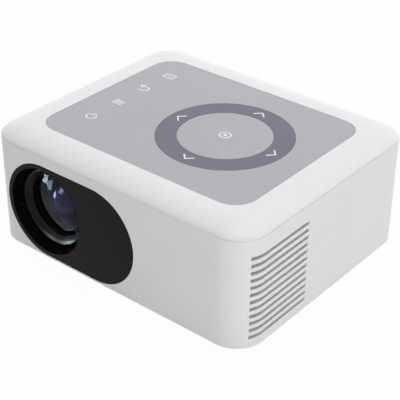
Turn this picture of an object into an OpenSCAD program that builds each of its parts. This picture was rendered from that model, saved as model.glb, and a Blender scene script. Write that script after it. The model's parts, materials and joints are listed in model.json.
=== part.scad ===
// Desktop projector with a built-in disc drive.
// X runs along the width with the lens at -X, Y runs to the back, Z runs up, and the feet stand on Z = 0.

/* [Body] */
// Width of the body
body_w = 230; // [224:1:250]
// Depth of the body, front to back
body_d = 193; // [190:1:215]
// Height of the side walls, up to the seam
shell_h = 82.7; // [82:0.1:92]
// Plan radius of the vertical corners
corner_r = 21.6; // [20:0.1:24]
// Thickness of the side walls
wall = 2.4; // [2:0.1:3]
// Height of the rubber feet under the body
foot_h = 4; // [3:0.1:6]
// Thickness of the bottom cover
base_t = 2.5; // [2:0.1:3]

/* [Top] */
// Height of the top cover above the seam
cover_h = 6.9; // [6.5:0.1:8]
// Width of the rim's curve, measured inwards
rim_w = 20; // [16:0.5:20.5]
// Height of the rim's curve
rim_curve_h = 8; // [7.2:0.1:9]
// Thickness of the cover under the panel
cover_floor_t = 1.8; // [1.4:0.1:2]
// Depth of the lip that locates the cover in the shell
lip_h = 3; // [2:0.1:3.2]
// Thickness of that lip
lip_t = 1.6; // [1.2:0.1:2]
// Width of the control panel
panel_w = 182.6; // [170:0.2:186]
// Depth of the control panel
panel_d = 144.6; // [138:0.2:148]
// Corner radius of the control panel
panel_r = 17.4; // [10:0.2:22]
// Thickness of the control panel
panel_t = 1.65; // [1.4:0.05:1.8]
// Distance of the ring pad's centre to the right of the panel's centre
ring_x = 22.6; // [10:0.2:30]
// Outer radius of the ring pad
ring_r_out = 49; // [44:0.2:54]
// Inner radius of the ring pad
ring_r_in = 34.1; // [28:0.1:38]
// Thickness of the ring pad
ring_t = 0.8; // [0.5:0.05:1]
// Thickness of the printed marks
print_t = 0.12; // [0.08:0.01:0.15]
// Width of the strokes of the printed marks
stroke = 0.9; // [0.6:0.05:1.2]
// Distance from the panel's left edge to the column of icons
icon_inset = 22.8; // [18:0.2:28]
// Distance between icons
icon_pitch = 28.8; // [24:0.2:30]
// Radius on the pad at which the chevrons sit
chevron_r = 41.5; // [39:0.1:44]
// Thickness of the touch board
touch_t = 1.6; // [1:0.1:1.6]

/* [Side vents] */
// Number of slots on the right side
slot_count = 12; // [9:1:12]
// Distance between slots
slot_pitch = 5.55; // [4.8:0.05:5.6]
// Height of a slot
slot_h = 2.6; // [1.8:0.1:3]
// Height of the lowest slot's middle above the body's bottom edge
slot_z = 8.2; // [7.5:0.1:9]
// Distance from the front face to the slots' front ends
slot_y0 = 10.5; // [9:0.5:14]
// Distance from the front face to the slots' rear ends
slot_y1 = 69; // [60:0.5:74]
// Thickness of the wall at the slots
grille_t = 4.2; // [3.6:0.1:4.4]
// Number of intake slots on the left side
intake_slots = 9; // [5:1:9]

/* [Lens] */
// Distance of the lens axis from the left face
lens_from_left = 53.3; // [52:0.1:58]
// Height of the lens axis above the body's bottom edge
lens_height = 38.2; // [38:0.1:40]
// Radius of the bezel's ends
bezel_r = 36.9; // [36.5:0.1:37.2]
// Distance between the centres of the bezel's ends
bezel_run = 46.9; // [40:0.1:60]
// Thickness of the bezel's back flange
flange_t = 1.5; // [1:0.1:1.5]
// Radius of the lens well at its mouth
well_r = 33.4; // [33:0.1:33.8]
// Radius of the lens well at its bottom
well_r_in = 31; // [30.6:0.1:31.2]
// Depth of the lens well
well_depth = 16.1; // [14:0.1:16.4]
// Outer radius of the lens hood
hood_r = 29.5; // [29:0.1:30]
// Depth of the hood's front edge behind the front face
hood_depth = 7.6; // [7:0.1:9]
// Radius of the front glass
glass_r = 26.8; // [26:0.1:27]
// Thickness of the front glass at its edge
glass_edge_t = 3; // [2.4:0.1:3.2]
// Bulge of the front glass
glass_sag = 4.3; // [3.5:0.1:4.5]
// Outer radius of the barrel's rear tube
barrel_r = 23; // [22:0.1:23.4]
// Wall of the barrel
barrel_wall = 2.4; // [2:0.1:2.6]
// Focus travel each way
focus_travel = 2.5; // [1.5:0.1:2.5]
// Wall of the fixed tube that guides the barrel
mount_wall = 2.4; // [2:0.1:2.6]
// Teeth on the focus ring
ring_teeth = 76; // [76:2:80]
// Teeth on the motor pinion
pinion_teeth = 12; // [12:1:14]
// Wall of the focus ring over its cam groove
ring_wall = 1.22; // [1:0.02:1.4]
// Width of the gear teeth
gear_w = 5; // [4:0.1:5.4]

/* [Optical engine] */
// Distance from the lens axis to the engine's left face
engine_left = 29.4; // [29:0.1:29.8]
// Length of the engine, left to right
engine_len = 133; // [128:0.5:134]
// Depth of the engine, front to back
engine_d = 84; // [80:0.5:86]
// Height of the engine's box without its lid
engine_h = 51; // [50:0.1:51.4]
// Wall of the engine
engine_wall = 2; // [1.6:0.1:2.2]
// Thickness of the engine's lid
lid_t = 2; // [1.5:0.1:2.2]
// Distance from the front face to the engine
engine_y = 32.5; // [32:0.1:34]
// Thickness of the mirror
mirror_t = 2; // [1.5:0.1:2.5]
// Length of the mirror
mirror_len = 62; // [56:0.5:64]
// Thickness of the picture panel
lcd_t = 3; // [2:0.1:4]
// Thickness of a ribbed lens
fresnel_t = 2; // [1.5:0.1:2.5]
// Radius of the condenser lens
condenser_r = 22; // [20:0.1:22.4]
// Thickness of the condenser lens at its edge
condenser_edge_t = 4; // [3:0.1:4.5]
// Bulge of the condenser lens
condenser_sag = 5; // [4:0.1:5.5]
// Thickness of the lamp's board
led_t = 1.6; // [1:0.1:2]
// Thickness of the heat sink's base
sink_base_t = 4.4; // [3.5:0.1:5]
// Number of cooling fins
fin_count = 18; // [12:1:20]
// Thickness of a fin
fin_t = 1.2; // [0.8:0.1:1.4]

/* [Fans] */
// Side of the exhaust fan
exhaust_size = 60; // [56:0.5:60]
// Thickness of the exhaust fan
exhaust_t = 15; // [12:0.5:15]
// Side of the intake fan
intake_size = 50; // [46:0.5:50]
// Thickness of the intake fan
intake_t = 10; // [9:0.5:10]
// Thickness of the dust filter
filter_t = 3; // [2:0.1:3]
// Number of blades on each rotor
blade_count = 7; // [5:1:9]

/* [Disc drive] */
// Width of the drive
drive_w = 127; // [127:0.2:129]
// Length of the drive
drive_len = 126.8; // [126.8:0.2:132]
// Height of the drive
drive_h = 12.7; // [12.7:0.1:13]
// Thickness of the drive's sheet metal
sheet_t = 0.8; // [0.6:0.05:0.9]
// Diameter of the disc
disc_d = 120; // [118:0.5:120]
// Room round the disc in the tray
disc_room = 1.5; // [1.2:0.1:1.8]
// Travel of the tray
tray_travel = 127; // [110:1:127]
// Height of the tray's plate
tray_h = 7; // [6.6:0.1:7]
// Depth of the disc recess
recess_h = 1.6; // [1.3:0.1:1.8]
// Thickness of a slide rail
rail_t = 1.7; // [1.4:0.05:1.8]
// Height of a slide rail
rail_h = 4.2; // [3.6:0.1:4.4]
// Thickness of the tray's bezel
tray_bezel_t = 2.1; // [1.6:0.1:2.1]
// Width of the eject button
button_w = 10; // [8:0.2:12]
// Height of the eject button
button_h = 4; // [3.4:0.1:4.2]
// Travel of the eject button
button_travel = 0.8; // [0.4:0.1:1]
// Travel of the pickup
pickup_travel = 30; // [24:0.5:30]
// Radius of a guide rod
rod_r = 1; // [0.8:0.05:1]
// Thickness of the drive's bracket
bracket_t = 1; // [0.8:0.05:1.2]
// Gap between the focus ring and the drive's front side
drive_gap = 2.7; // [2:0.1:4]

/* [Rear] */
// Thickness of a circuit board
board_t = 1.6; // [1.2:0.1:1.8]
// Height of the standoffs under the boards
standoff_h = 5.5; // [5:0.1:6]
// Radius of a speaker
speaker_r = 19; // [17:0.1:19]
// Distance of each speaker's axis from the nearer side face
speaker_x = 41; // [41:0.5:43]
// Radius of a jack's hole
jack_r = 1.8; // [1.75:0.05:2]

/* [Bottom] */
// Radius of a rubber foot
foot_r = 8; // [6:0.1:9]
// Radius of the front foot's stem
stem_r = 4; // [3.5:0.1:4.5]
// Travel of the front foot
foot_travel = 12; // [8:0.5:12]
// Radius of the tripod thread
tripod_r = 3.175; // [3.175:0.1:4.775]
// Length of the tripod thread
tripod_len = 9; // [8:0.1:9]
// Radius of a screw's shank
screw_r = 1.3; // [1.1:0.05:1.4]

/* [Fits] */
// Gap at the seam between shell and cover
seam_gap = 0.2; // [0.1:0.05:0.4]
// Gap round pieces that are let into each other
fit = 0.15; // [0.1:0.01:0.25]
// Radial clearance of a turning or sliding fit
run_fit = 0.08; // [0.05:0.01:0.1]
// Gap round the tray's bezel
tray_gap = 0.3; // [0.2:0.05:0.5]

/* [Hidden] */

smooth = 64;      // sides of a large circle
fine = 32;        // sides of a small circle
over = 1;         // how far a cut runs past a face
side_signs = [-1, 1];

// Faces of the body
front_y = -body_d / 2;
rear_y = body_d / 2;
left_x = -body_w / 2;
right_x = body_w / 2;
base_z = foot_h;
base_top = base_z + base_t;
seam_z = base_z + shell_h;
top_z = seam_z + cover_h;
in_left = left_x + wall;
in_rear = rear_y - wall;

// Corner posts: on the diagonal of each corner, merged with its wall
post_r = 5;
post_off = corner_r - (corner_r - wall - 3.7) / sqrt(2);
post_x = body_w / 2 - post_off;
post_y = body_d / 2 - post_off;
post_top = seam_z - lip_h - 0.7;
peg_r = 1.5;
peg_len = 8;
boss_r = 3.3;
boss_h = cover_h - rim_curve_h + lip_h + 3.2;
screw_head_r = 2.5;
screw_head_h = 1.4;

// Top
panel_top = top_z - 0.15;
panel_z = panel_top - panel_t;
ceiling_z = panel_z - cover_floor_t;
cover_z = seam_z + seam_gap;
rim_inset = 6.4;
ring_z = panel_top - ring_t;
icon_x = -panel_w / 2 + icon_inset;
icon_y0 = -39.6;
chevron_arm = 4.4;
rim_steps = 14;

// Lens train, along Y
lens_x = left_x + lens_from_left;
lens_z = base_z + lens_height;
bezel_front = front_y + 0.2;
bezel_back = front_y + wall + fit - 0.05;
well_back = bezel_front + well_depth;
hood_y = front_y + hood_depth;
glass_front = hood_y + glass_sag + 0.4;
glass_back = glass_front + glass_edge_t;
clear_r = glass_r - 2.5;
shelf_back = glass_back + 1.2;
engine_y0 = front_y + engine_y;
barrel_back = engine_y0 + 14;
mount_plate_t = 2;
mount_in_r = barrel_r + run_fit;
mount_out_r = mount_in_r + mount_wall;
mount_front = shelf_back + focus_travel + 0.5;
ring_front = mount_front;
ring_back = engine_y0 - mount_plate_t - 0.2;
gear_y0 = ring_back - gear_w;
groove_r = mount_out_r + 2.3;
tooth_step = 1.4;
ring_smooth_r = groove_r + ring_wall;
gear_module = 2 * (ring_smooth_r + tooth_step) / ring_teeth;
cam_pin_r = 1.2;
cam_y = (ring_front + ring_back) / 2;
gear_backlash = 0.05;
gear_distance = gear_module * (ring_teeth + pinion_teeth) / 2 + gear_backlash;
pinion_x = lens_x - gear_distance;
focus_motor_r = 4.8;
focus_motor_len = 16;
focus_shaft_r = 1;

// Optical engine
engine_x0 = lens_x - engine_left;
engine_x1 = engine_x0 + engine_len;
engine_y1 = engine_y0 + engine_d;
engine_z0 = lens_z - engine_h / 2 - 1;
engine_z1 = engine_z0 + engine_h;
engine_floor = engine_z0 + engine_wall;
path_y = (engine_y0 + engine_y1) / 2;
lcd_from_lamp = 50;
fresnel_front = 10;
fresnel_back = 12;
lcd_x = engine_x1 - lcd_from_lamp;
fresnel_x = [lcd_x - fresnel_front, lcd_x + fresnel_back];
plate_h = engine_z1 - engine_floor - 0.6;
condenser_x = engine_x1 - engine_wall - condenser_edge_t - condenser_sag - 1;
light_r = 19;
sink_x0 = engine_x1 + led_t;
sink_front = 54;
sink_rear = 34;
sink_h = 56;
sink_lift = 7.5;
fin_gap = 6;
led_half_y = 25;
led_half_z = 22;
led_die = 9;
sink_y0 = path_y - sink_front;
sink_y1 = path_y + sink_rear;
sink_z0 = base_top + sink_lift;
sink_z1 = sink_z0 + sink_h;

// Fans
exhaust_x1 = right_x - grille_t - 0.5;
exhaust_x0 = exhaust_x1 - exhaust_t;
fan_lift = 5.5;
exhaust_from_front = 48.5;
exhaust_y = front_y + exhaust_from_front;
exhaust_z = base_top + fan_lift + exhaust_size / 2;
filter_x0 = in_left + 0.3;
intake_x0 = filter_x0 + filter_t + 0.3;
intake_from_rear = 45.1;
intake_y = in_rear - intake_from_rear;
intake_z = base_top + fan_lift + intake_size / 2;
hub_share = 0.24;
fan_shaft_r = 1.2;

// Disc drive, tray end at the left face, just behind the focus ring
drive_y = ring_back + drive_gap + drive_w / 2;
drive_x0 = in_left + 0.4;
drive_x1 = drive_x0 + drive_len;
bracket_top = ceiling_z - touch_t - 4.7;
bracket_z = bracket_top - bracket_t;
drive_z1 = bracket_z;
drive_z0 = drive_z1 - drive_h;
tray_x0 = in_left;
tray_x1 = drive_x1 - sheet_t - 1.2;
tray_z0 = drive_z0 + sheet_t + 0.6;
tray_z1 = tray_z0 + tray_h;
recess_z = tray_z1 - recess_h;
rail_y1 = drive_w / 2 - sheet_t - fit;
rail_y0 = rail_y1 - rail_t;
tray_half = rail_y0 - fit;
recess_r = disc_d / 2 + disc_room;
disc_x = tray_x0 + 3.1 + recess_r;
rail_x0 = drive_x0 + 4.2;
rail_len = tray_travel - 9;
rail_z0 = tray_z0 + 1.2;
bezel_half = tray_half + 4.9;
bezel_z0 = drive_z0 + 0.5;
bezel_z1 = drive_z1 - 0.4;
button_y = 46;
button_z = tray_z0 + 4.2;
button_pocket = 4.6;
mech_angle = 225;
sheet_z0 = tray_z0 + 0.1;
sheet_z1 = sheet_z0 + sheet_t;
window_v0 = -13;
window_v1 = 20.5;
rod_v = 9;
rod_z = sheet_z1 + 2.7;
rod_u0 = 15.6;
holder_half = 1.2;
sled_half = 5.5;
sled_u = rod_u0 + holder_half + 0.3 + sled_half;
rod_u1 = sled_u + sled_half + pickup_travel + 2 * holder_half + 0.9;
window_u1 = rod_u1 + 0.6;
screw_v = 17;
lead_u0 = 15.4;
lead_r = 1.2;
sled_motor_r = 2.65;
rotor_r = 13.5;
small_disc_r = 41;
disc_z = recess_z + 0.8;

// Bracket and its bosses in the cover
ear_out = 6.5;
ear_half = 4.5;
bracket_x = [drive_x0 + 22, drive_x0 + 102];
bracket_front = 12;
bracket_back = 8;
bracket_in = 4;
bracket_y = [drive_y - drive_w / 2 - ear_out, drive_y + drive_w / 2 + ear_out];

// Rear
board_z = base_top + standoff_h;
board_top = board_z + board_t;
board_gap = 8.1;
board_y1 = in_rear - 3;
board_y0 = engine_y1 + board_gap;
power_len = 52;
port_edge = 14;
hdmi_pitch = 20;
hdmi_to_usb = 20;
usb_pitch = 17;
usb_to_jack = 11.5;
jack_pitch = 8;
jack_edge = 5.5;
main_len = port_edge + hdmi_pitch + hdmi_to_usb + usb_pitch + usb_to_jack + jack_pitch + jack_edge;
power_x1 = right_x - 19;
power_x0 = power_x1 - power_len;
main_x1 = power_x0 - 4;
main_x0 = main_x1 - main_len;
port_x0 = main_x0 + 2;
port_x1 = main_x1;
port_z0 = board_z - 1;
port_z1 = board_top + 10;
port_y1 = rear_y - 0.3;
hdmi_x = [main_x0 + port_edge, main_x0 + port_edge + hdmi_pitch];
hdmi_w = 15.6;
hdmi_h = 6;
usb_x = [hdmi_x[1] + hdmi_to_usb, hdmi_x[1] + hdmi_to_usb + usb_pitch];
usb_w = 13.6;
usb_h = 7;
jack_x = [usb_x[1] + usb_to_jack, usb_x[1] + usb_to_jack + jack_pitch];
jack_w = 6.4;
jack_h = 7;
jack_depth = 13;
socket_wall = 0.6;
socket_len = 17;
socket_y1 = rear_y - 0.5;
inlet_x = power_x0 + 13;
inlet_w = 20;
inlet_h = 15;
inlet_depth = 18;
inlet_hole_w = 16.4;
inlet_hole_h = 8.6;
inlet_pin_x = 4.3;
inlet_pin_r = 1.2;
inlet_z0 = board_top + 3;
ir_z = base_z + 54;
ir_w = 16;
ir_h = 9;
base_slots = 8;
base_slot_pitch = 5;
base_slot_w = 2;
base_slot_y0 = board_y0 + 6;
speaker_mid_x = right_x - speaker_x;
speaker_z = base_z + 48;
cone_in_r = 6;
basket_depth = 10;
magnet_r = 9;
cone_h = 8;

// Bottom
foot_x = body_w / 2 - 23;
foot_y = body_d / 2 - 20.5;
stem_y = front_y + 14.5;
stem_top = base_top + foot_travel + 3;
pad_z = 0.6;
pad_h = 0.8;
pad_r = 7;
stem_z = pad_z + pad_h + 0.02;
collar_r = 9;
tripod_outer_r = tripod_r + 1.1;

// ---- helpers ----
module block(low, high) {
    translate(low) cube(high - low);
}

module rounded_rect(w, d, r) {
    square([w - 2 * r, d], center = true);
    square([w, d - 2 * r], center = true);
    for (sx = side_signs, sy = side_signs)
        translate([sx * (w / 2 - r), sy * (d / 2 - r)]) circle(r = r, $fn = smooth);
}

module body_outline(inset) {
    rounded_rect(body_w - 2 * inset, body_d - 2 * inset, corner_r - inset);
}

module body_layer(inset, z0, z1) {
    translate([0, 0, z0]) linear_extrude(z1 - z0) body_outline(inset);
}

module along_x(x0, x1) {
    translate([x0, 0, 0]) rotate([90, 0, 90]) linear_extrude(x1 - x0) children();
}

module along_y(y0, y1) {
    translate([0, y1, 0]) rotate([90, 0, 0]) linear_extrude(y1 - y0) children();
}

module rod_x(r, x0, x1, sides = fine) {
    translate([x0, 0, 0]) rotate([0, 90, 0]) cylinder(r = r, h = x1 - x0, $fn = sides);
}

module rod_y(r, y0, y1, sides = smooth) {
    translate([0, y0, 0]) rotate([-90, 0, 0]) cylinder(r = r, h = y1 - y0, $fn = sides);
}

module tube_y(r_out, r_in, y0, y1) {
    difference() {
        rod_y(r_out, y0, y1);
        rod_y(r_in, y0 - over, y1 + over);
    }
}

module at_corners(x, y) {
    for (sx = side_signs, sy = side_signs) translate([sx * x, sy * y, 0]) children();
}

module at_lens() {
    translate([lens_x, 0, lens_z]) children();
}

// ---- housing ----
module stadium(r) {
    translate([lens_x, lens_z]) circle(r = r, $fn = smooth);
    translate([lens_x + bezel_run, lens_z]) circle(r = r, $fn = smooth);
    translate([lens_x, lens_z - r]) square([bezel_run, 2 * r]);
}

module vent_slots() {
    for (i = [0 : slot_count - 1]) {
        z = base_z + slot_z + i * slot_pitch;
        block([right_x - corner_r + 4, front_y + slot_y0, z - slot_h / 2],
              [right_x + over, front_y + slot_y1, z + slot_h / 2]);
    }
}

module intake_slots_cut() {
    for (i = [0 : intake_slots - 1]) {
        z = intake_z + (i - (intake_slots - 1) / 2) * slot_pitch;
        block([left_x - over, intake_y - intake_size / 2 + 2, z - slot_h / 2],
              [in_left + over, intake_y + intake_size / 2 - 2, z + slot_h / 2]);
    }
}

module speaker_slots() {
    reach = speaker_r - 3;
    step = 4.6;
    for (s = side_signs, i = [-3 : 3]) {
        half = sqrt(reach * reach - i * i * step * step);
        block([s * speaker_mid_x - half, in_rear - over, speaker_z + i * step - 1],
              [s * speaker_mid_x + half, rear_y + over, speaker_z + i * step + 1]);
    }
}

module grille_pad() {
    intersection() {
        difference() {
            body_layer(wall - 0.2, base_top + 1, seam_z - lip_h - 0.6);
            body_layer(grille_t, base_top, seam_z);
        }
        block([right_x - corner_r + 4, front_y + slot_y0 - 2.5, base_top + 1],
              [right_x, front_y + slot_y1 + 3, seam_z - lip_h - 0.6]);
    }
}

module main_shell() {
    color("white") difference() {
        union() {
            difference() {
                union() {
                    difference() {
                        body_layer(0, base_z, seam_z);
                        body_layer(wall, base_z - over, seam_z + over);
                    }
                    grille_pad();
                }
                vent_slots();
                intake_slots_cut();
                speaker_slots();
                along_y(front_y - over, front_y + wall + over) stadium(bezel_r + fit);
                block([left_x - over, drive_y - bezel_half - tray_gap, bezel_z0 - tray_gap],
                      [in_left + over, drive_y + bezel_half + tray_gap, bezel_z1 + tray_gap]);
                block([port_x0 - fit, in_rear - over, port_z0 - fit],
                      [port_x1 + fit, rear_y + over, port_z1 + fit]);
                block([inlet_x - inlet_w / 2 - fit, in_rear - over, inlet_z0 - fit],
                      [inlet_x + inlet_w / 2 + fit, rear_y + over, inlet_z0 + inlet_h + fit]);
                block([-ir_w / 2 - fit, in_rear - over, ir_z - ir_h / 2 - fit],
                      [ir_w / 2 + fit, rear_y + over, ir_z + ir_h / 2 + fit]);
            }
            at_corners(post_x, post_y) translate([0, 0, base_top + fit])
                cylinder(r = post_r, h = post_top - base_top - fit, $fn = fine);
        }
        at_corners(post_x, post_y) {
            translate([0, 0, base_top - over]) cylinder(r = screw_r + 0.05, h = 14, $fn = fine);
            translate([0, 0, post_top - peg_len - 1])
                cylinder(r = peg_r + 0.1, h = peg_len + 2, $fn = fine);
        }
    }
}

function rim_curve() = [for (i = [0 : rim_steps]) let (
        z0 = top_z - rim_curve_h,
        a0 = asin((cover_z - z0) / rim_curve_h),
        a = a0 + (90 - a0) * i / rim_steps
    ) [corner_r - rim_w + rim_w * cos(a), z0 + rim_curve_h * sin(a)]];

module rim_section() {
    polygon(concat([[0, cover_z]], rim_curve(), [[0, top_z]]));
}

module cover_dome() {
    run_x = body_w - 2 * corner_r;
    run_y = body_d - 2 * corner_r;
    block([-run_x / 2, -run_y / 2, cover_z], [run_x / 2, run_y / 2, top_z]);
    for (i = [0 : 3]) {
        sx = (i == 0 || i == 3) ? 1 : -1;
        sy = (i < 2) ? 1 : -1;
        translate([sx * run_x / 2, sy * run_y / 2, 0]) rotate([0, 0, 90 * i])
            rotate_extrude(angle = 90, $fn = smooth) rim_section();
    }
    for (s = side_signs) {
        translate([s * run_x / 2, s * run_y / 2, 0]) rotate([90, 0, s > 0 ? 0 : 180])
            linear_extrude(run_y) rim_section();
        translate([-s * run_x / 2, s * run_y / 2, 0]) rotate([90, 0, s > 0 ? 90 : -90])
            linear_extrude(run_x) rim_section();
    }
}

module top_cover() {
    color("whitesmoke") difference() {
        union() {
            difference() {
                cover_dome();
                body_layer(rim_inset, cover_z - over, ceiling_z);
            }
            difference() {
                body_layer(wall + fit, seam_z - lip_h, cover_z + 0.1);
                body_layer(wall + fit + lip_t, seam_z - lip_h - over, cover_z + over);
            }
            at_corners(post_x, post_y) {
                translate([0, 0, post_top + 0.1]) cylinder(r = boss_r, h = boss_h, $fn = fine);
                translate([0, 0, post_top - peg_len + 1]) cylinder(r = peg_r, h = peg_len, $fn = fine);
            }
            for (x = bracket_x, y = bracket_y) translate([x, y, bracket_top])
                cylinder(r = 4, h = ceiling_z - bracket_top + 0.2, $fn = fine);
        }
        translate([0, 0, panel_z]) linear_extrude(panel_t + over)
            rounded_rect(panel_w + 2 * fit, panel_d + 2 * fit, panel_r + fit);
        for (x = bracket_x, y = bracket_y) translate([x, y, bracket_top - over])
            cylinder(r = screw_r + 0.05, h = ceiling_z - bracket_top, $fn = fine);
    }
}

module control_panel() {
    color("darkgray") difference() {
        translate([0, 0, panel_z]) linear_extrude(panel_t) rounded_rect(panel_w, panel_d, panel_r);
        translate([ring_x, 0, ring_z]) difference() {
            cylinder(r = ring_r_out + fit, h = ring_t + over, $fn = smooth);
            translate([0, 0, -over]) cylinder(r = ring_r_in - fit, h = ring_t + 3 * over, $fn = smooth);
        }
    }
}

module ring_pad() {
    color("slategray") translate([ring_x, 0, ring_z]) difference() {
        cylinder(r = ring_r_out, h = ring_t, $fn = smooth);
        translate([0, 0, -over]) cylinder(r = ring_r_in, h = ring_t + 2 * over, $fn = smooth);
    }
}

// ---- printed marks ----
module bar(x, y, w, h) {
    translate([x - w / 2, y - h / 2]) square([w, h]);
}

module ring_mark(r) {
    difference() {
        circle(r = r, $fn = fine);
        circle(r = r - stroke, $fn = fine);
    }
}

module power_mark() {
    difference() {
        ring_mark(4.2);
        bar(0, 4, 3.4, 4);
    }
    bar(0, 3, stroke, 4.4);
}

module menu_mark() {
    for (i = [-1 : 1]) bar(0, i * 2.3, 8.4, stroke);
}

module back_mark() {
    difference() {
        ring_mark(3.4);
        bar(-2.5, 0, 5, 9);
    }
    bar(-1.8, 3.4 - stroke / 2, 3.6, stroke);
    bar(-1.8, -3.4 + stroke / 2, 3.6, stroke);
    polygon([[-6.6, 3.4 - stroke / 2], [-3.4, 5.4 - stroke / 2], [-3.4, 1.4 - stroke / 2]]);
}

module source_mark() {
    difference() {
        bar(0, 0, 9.6, 7);
        bar(0, 0, 9.6 - 2 * stroke, 7 - 2 * stroke);
    }
    bar(0, 0, 4.4, stroke);
}

module chevron_mark() {
    for (s = side_signs) rotate([0, 0, s * 135])
        translate([-stroke / 2, -stroke / 2]) square([chevron_arm, stroke]);
}

module pad_mark() {
    ring_mark(4.4);
    circle(r = 1.4, $fn = fine);
}

module icon_row() {
    translate([icon_x, icon_y0]) power_mark();
    translate([icon_x, icon_y0 + icon_pitch]) menu_mark();
    translate([icon_x, icon_y0 + 2 * icon_pitch]) back_mark();
    translate([icon_x, icon_y0 + 3 * icon_pitch]) source_mark();
}

module panel_icons() {
    color("white") translate([0, 0, panel_top]) linear_extrude(print_t) {
        icon_row();
        translate([ring_x, 0]) {
            pad_mark();
            for (i = [0 : 3]) rotate([0, 0, 90 * i]) translate([chevron_r + 1.4, 0]) chevron_mark();
        }
    }
}

module touch_board() {
    color("green") block([-panel_w / 2 + 8, bracket_y[0] + 6, ceiling_z - touch_t],
                         [panel_w / 2 - 8, bracket_y[1] - 6, ceiling_z]);
}

// ---- bottom ----
module bottom_cover() {
    color("gainsboro") difference() {
        union() {
            body_layer(wall + fit, base_z, base_top);
            translate([0, stem_y, base_z]) cylinder(r = stem_r + 3.5, h = stem_top - base_z, $fn = fine);
            translate([0, 0, base_z]) cylinder(r = tripod_outer_r + 3, h = tripod_len + 1, $fn = fine);
            for (x = [engine_x0 + 8, engine_x1 - 8], y = [engine_y0 + 8, engine_y1 - 8])
                translate([x, y, base_z]) cylinder(r = 4, h = engine_z0 - base_z, $fn = fine);
            for (y = [sink_y0 + 10, sink_y1 - 10])
                block([sink_x0 + 1, y - 2, base_z], [exhaust_x0 - 8, y + 2, sink_z0]);
            for (y = [exhaust_y - 20, exhaust_y + 20])
                block([exhaust_x0 + 1, y - 2, base_z],
                      [exhaust_x1 - 1, y + 2, exhaust_z - exhaust_size / 2]);
            for (y = [intake_y - 16, intake_y + 16])
                block([filter_x0 + 0.5, y - 2, base_z],
                      [intake_x0 + intake_t - 1, y + 2, intake_z - intake_size / 2]);
            for (x = [main_x0 + 5, main_x1 - 5, power_x0 + 5, power_x1 - 5],
                 y = [board_y0 + 5, board_y1 - 5])
                translate([x, y, base_z]) cylinder(r = 3, h = board_z - base_z, $fn = fine);
        }
        at_corners(post_x, post_y) {
            translate([0, 0, base_z - over]) cylinder(r = screw_r + 0.2, h = base_t + 2 * over, $fn = fine);
            translate([0, 0, base_z - over])
                cylinder(r = screw_head_r + 0.2, h = screw_head_h + 0.2 + over, $fn = fine);
        }
        at_corners(foot_x, foot_y) translate([0, 0, base_z - over])
            cylinder(r = foot_r + fit, h = 1 + over, $fn = fine);
        translate([0, stem_y, base_z - over])
            cylinder(r = stem_r + run_fit, h = stem_top - base_z + 2 * over, $fn = fine);
        translate([0, 0, base_z - over])
            cylinder(r = tripod_outer_r + 0.02, h = tripod_len + over, $fn = fine);
        for (i = [0 : base_slots - 1]) {
            y = base_slot_y0 + base_slot_pitch * i;
            block([main_x0 + 10, y, base_z - over], [main_x1 - 10, y + base_slot_w, base_top + over]);
        }
    }
}

module screw(z_head, z_tip) {
    translate([0, 0, z_head]) cylinder(r = screw_head_r, h = screw_head_h, $fn = fine);
    translate([0, 0, z_head]) cylinder(r = screw_r, h = z_tip - z_head, $fn = fine);
}

module screws() {
    color("silver") {
        at_corners(post_x, post_y) screw(base_z + 0.1, base_top + 10);
        for (x = bracket_x, y = bracket_y) translate([x, y, 0])
            screw(bracket_z - screw_head_h, bracket_top + 4);
    }
}

module rubber_feet() {
    color("dimgray") at_corners(foot_x, foot_y) cylinder(r = foot_r, h = foot_h + 1, $fn = fine);
}

module foot_pad() {
    color("dimgray") translate([0, stem_y, pad_z]) cylinder(r = pad_r, h = pad_h, $fn = fine);
}

module foot_screw() {
    color("silver") translate([0, stem_y, stem_z]) {
        cylinder(r = collar_r, h = base_z - 0.2 - stem_z, $fn = fine);
        cylinder(r = stem_r, h = stem_top - 1 - stem_z, $fn = fine);
    }
}

module tripod_insert() {
    color("goldenrod") translate([0, 0, base_z]) difference() {
        cylinder(r = tripod_outer_r, h = tripod_len, $fn = smooth);
        translate([0, 0, -over]) cylinder(r = tripod_r, h = tripod_len + 2 * over, $fn = smooth);
    }
}

// ---- lens ----
module lens_bezel() {
    color("black") difference() {
        union() {
            along_y(bezel_front, bezel_back) stadium(bezel_r);
            intersection() {
                along_y(bezel_back, bezel_back + flange_t) stadium(bezel_r + 1.8);
                block([lens_x - bezel_r + 7, front_y, base_top + 0.5],
                      [lens_x + bezel_run + bezel_r + 3, 0, seam_z - lip_h - 1]);
            }
            at_lens() rod_y(well_r + 2, bezel_back - 0.1, well_back);
        }
        at_lens() translate([0, bezel_front, 0]) rotate([-90, 0, 0])
            cylinder(r1 = well_r, r2 = well_r_in, h = well_depth, $fn = smooth);
        at_lens() rod_y(well_r, bezel_front - over, bezel_front + 0.01);
        at_lens() rod_y(well_r_in, well_back - 0.01, well_back + over);
    }
}

module lens_barrel() {
    tube_in = barrel_r - barrel_wall;
    color("dimgray") at_lens() {
        tube_y(hood_r, glass_r + 0.1, hood_y, glass_back);
        tube_y(hood_r, tube_in, glass_back, shelf_back);
        tube_y(barrel_r, tube_in, shelf_back, barrel_back - 1.2);
        tube_y(barrel_r, tube_in - 2, barrel_back - 1.2, barrel_back);
        for (a = [90, 210, 330]) rotate([0, a, 0]) difference() {
            translate([0, cam_y, 0]) rod_x(cam_pin_r, tube_in + 0.4, groove_r - 0.4);
            rod_y(tube_in + 0.3, cam_y - 3, cam_y + 3);
        }
    }
}

module domed_lens(r, dome_r, bulge, edge) {
    sphere_r = (dome_r * dome_r + bulge * bulge) / (2 * bulge);
    cylinder(r = r, h = edge, $fn = smooth);
    intersection() {
        translate([0, 0, edge + bulge - sphere_r]) sphere(r = sphere_r, $fn = 96);
        translate([0, 0, edge - 0.1]) cylinder(r = dome_r, h = bulge + over, $fn = smooth);
    }
}

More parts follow.
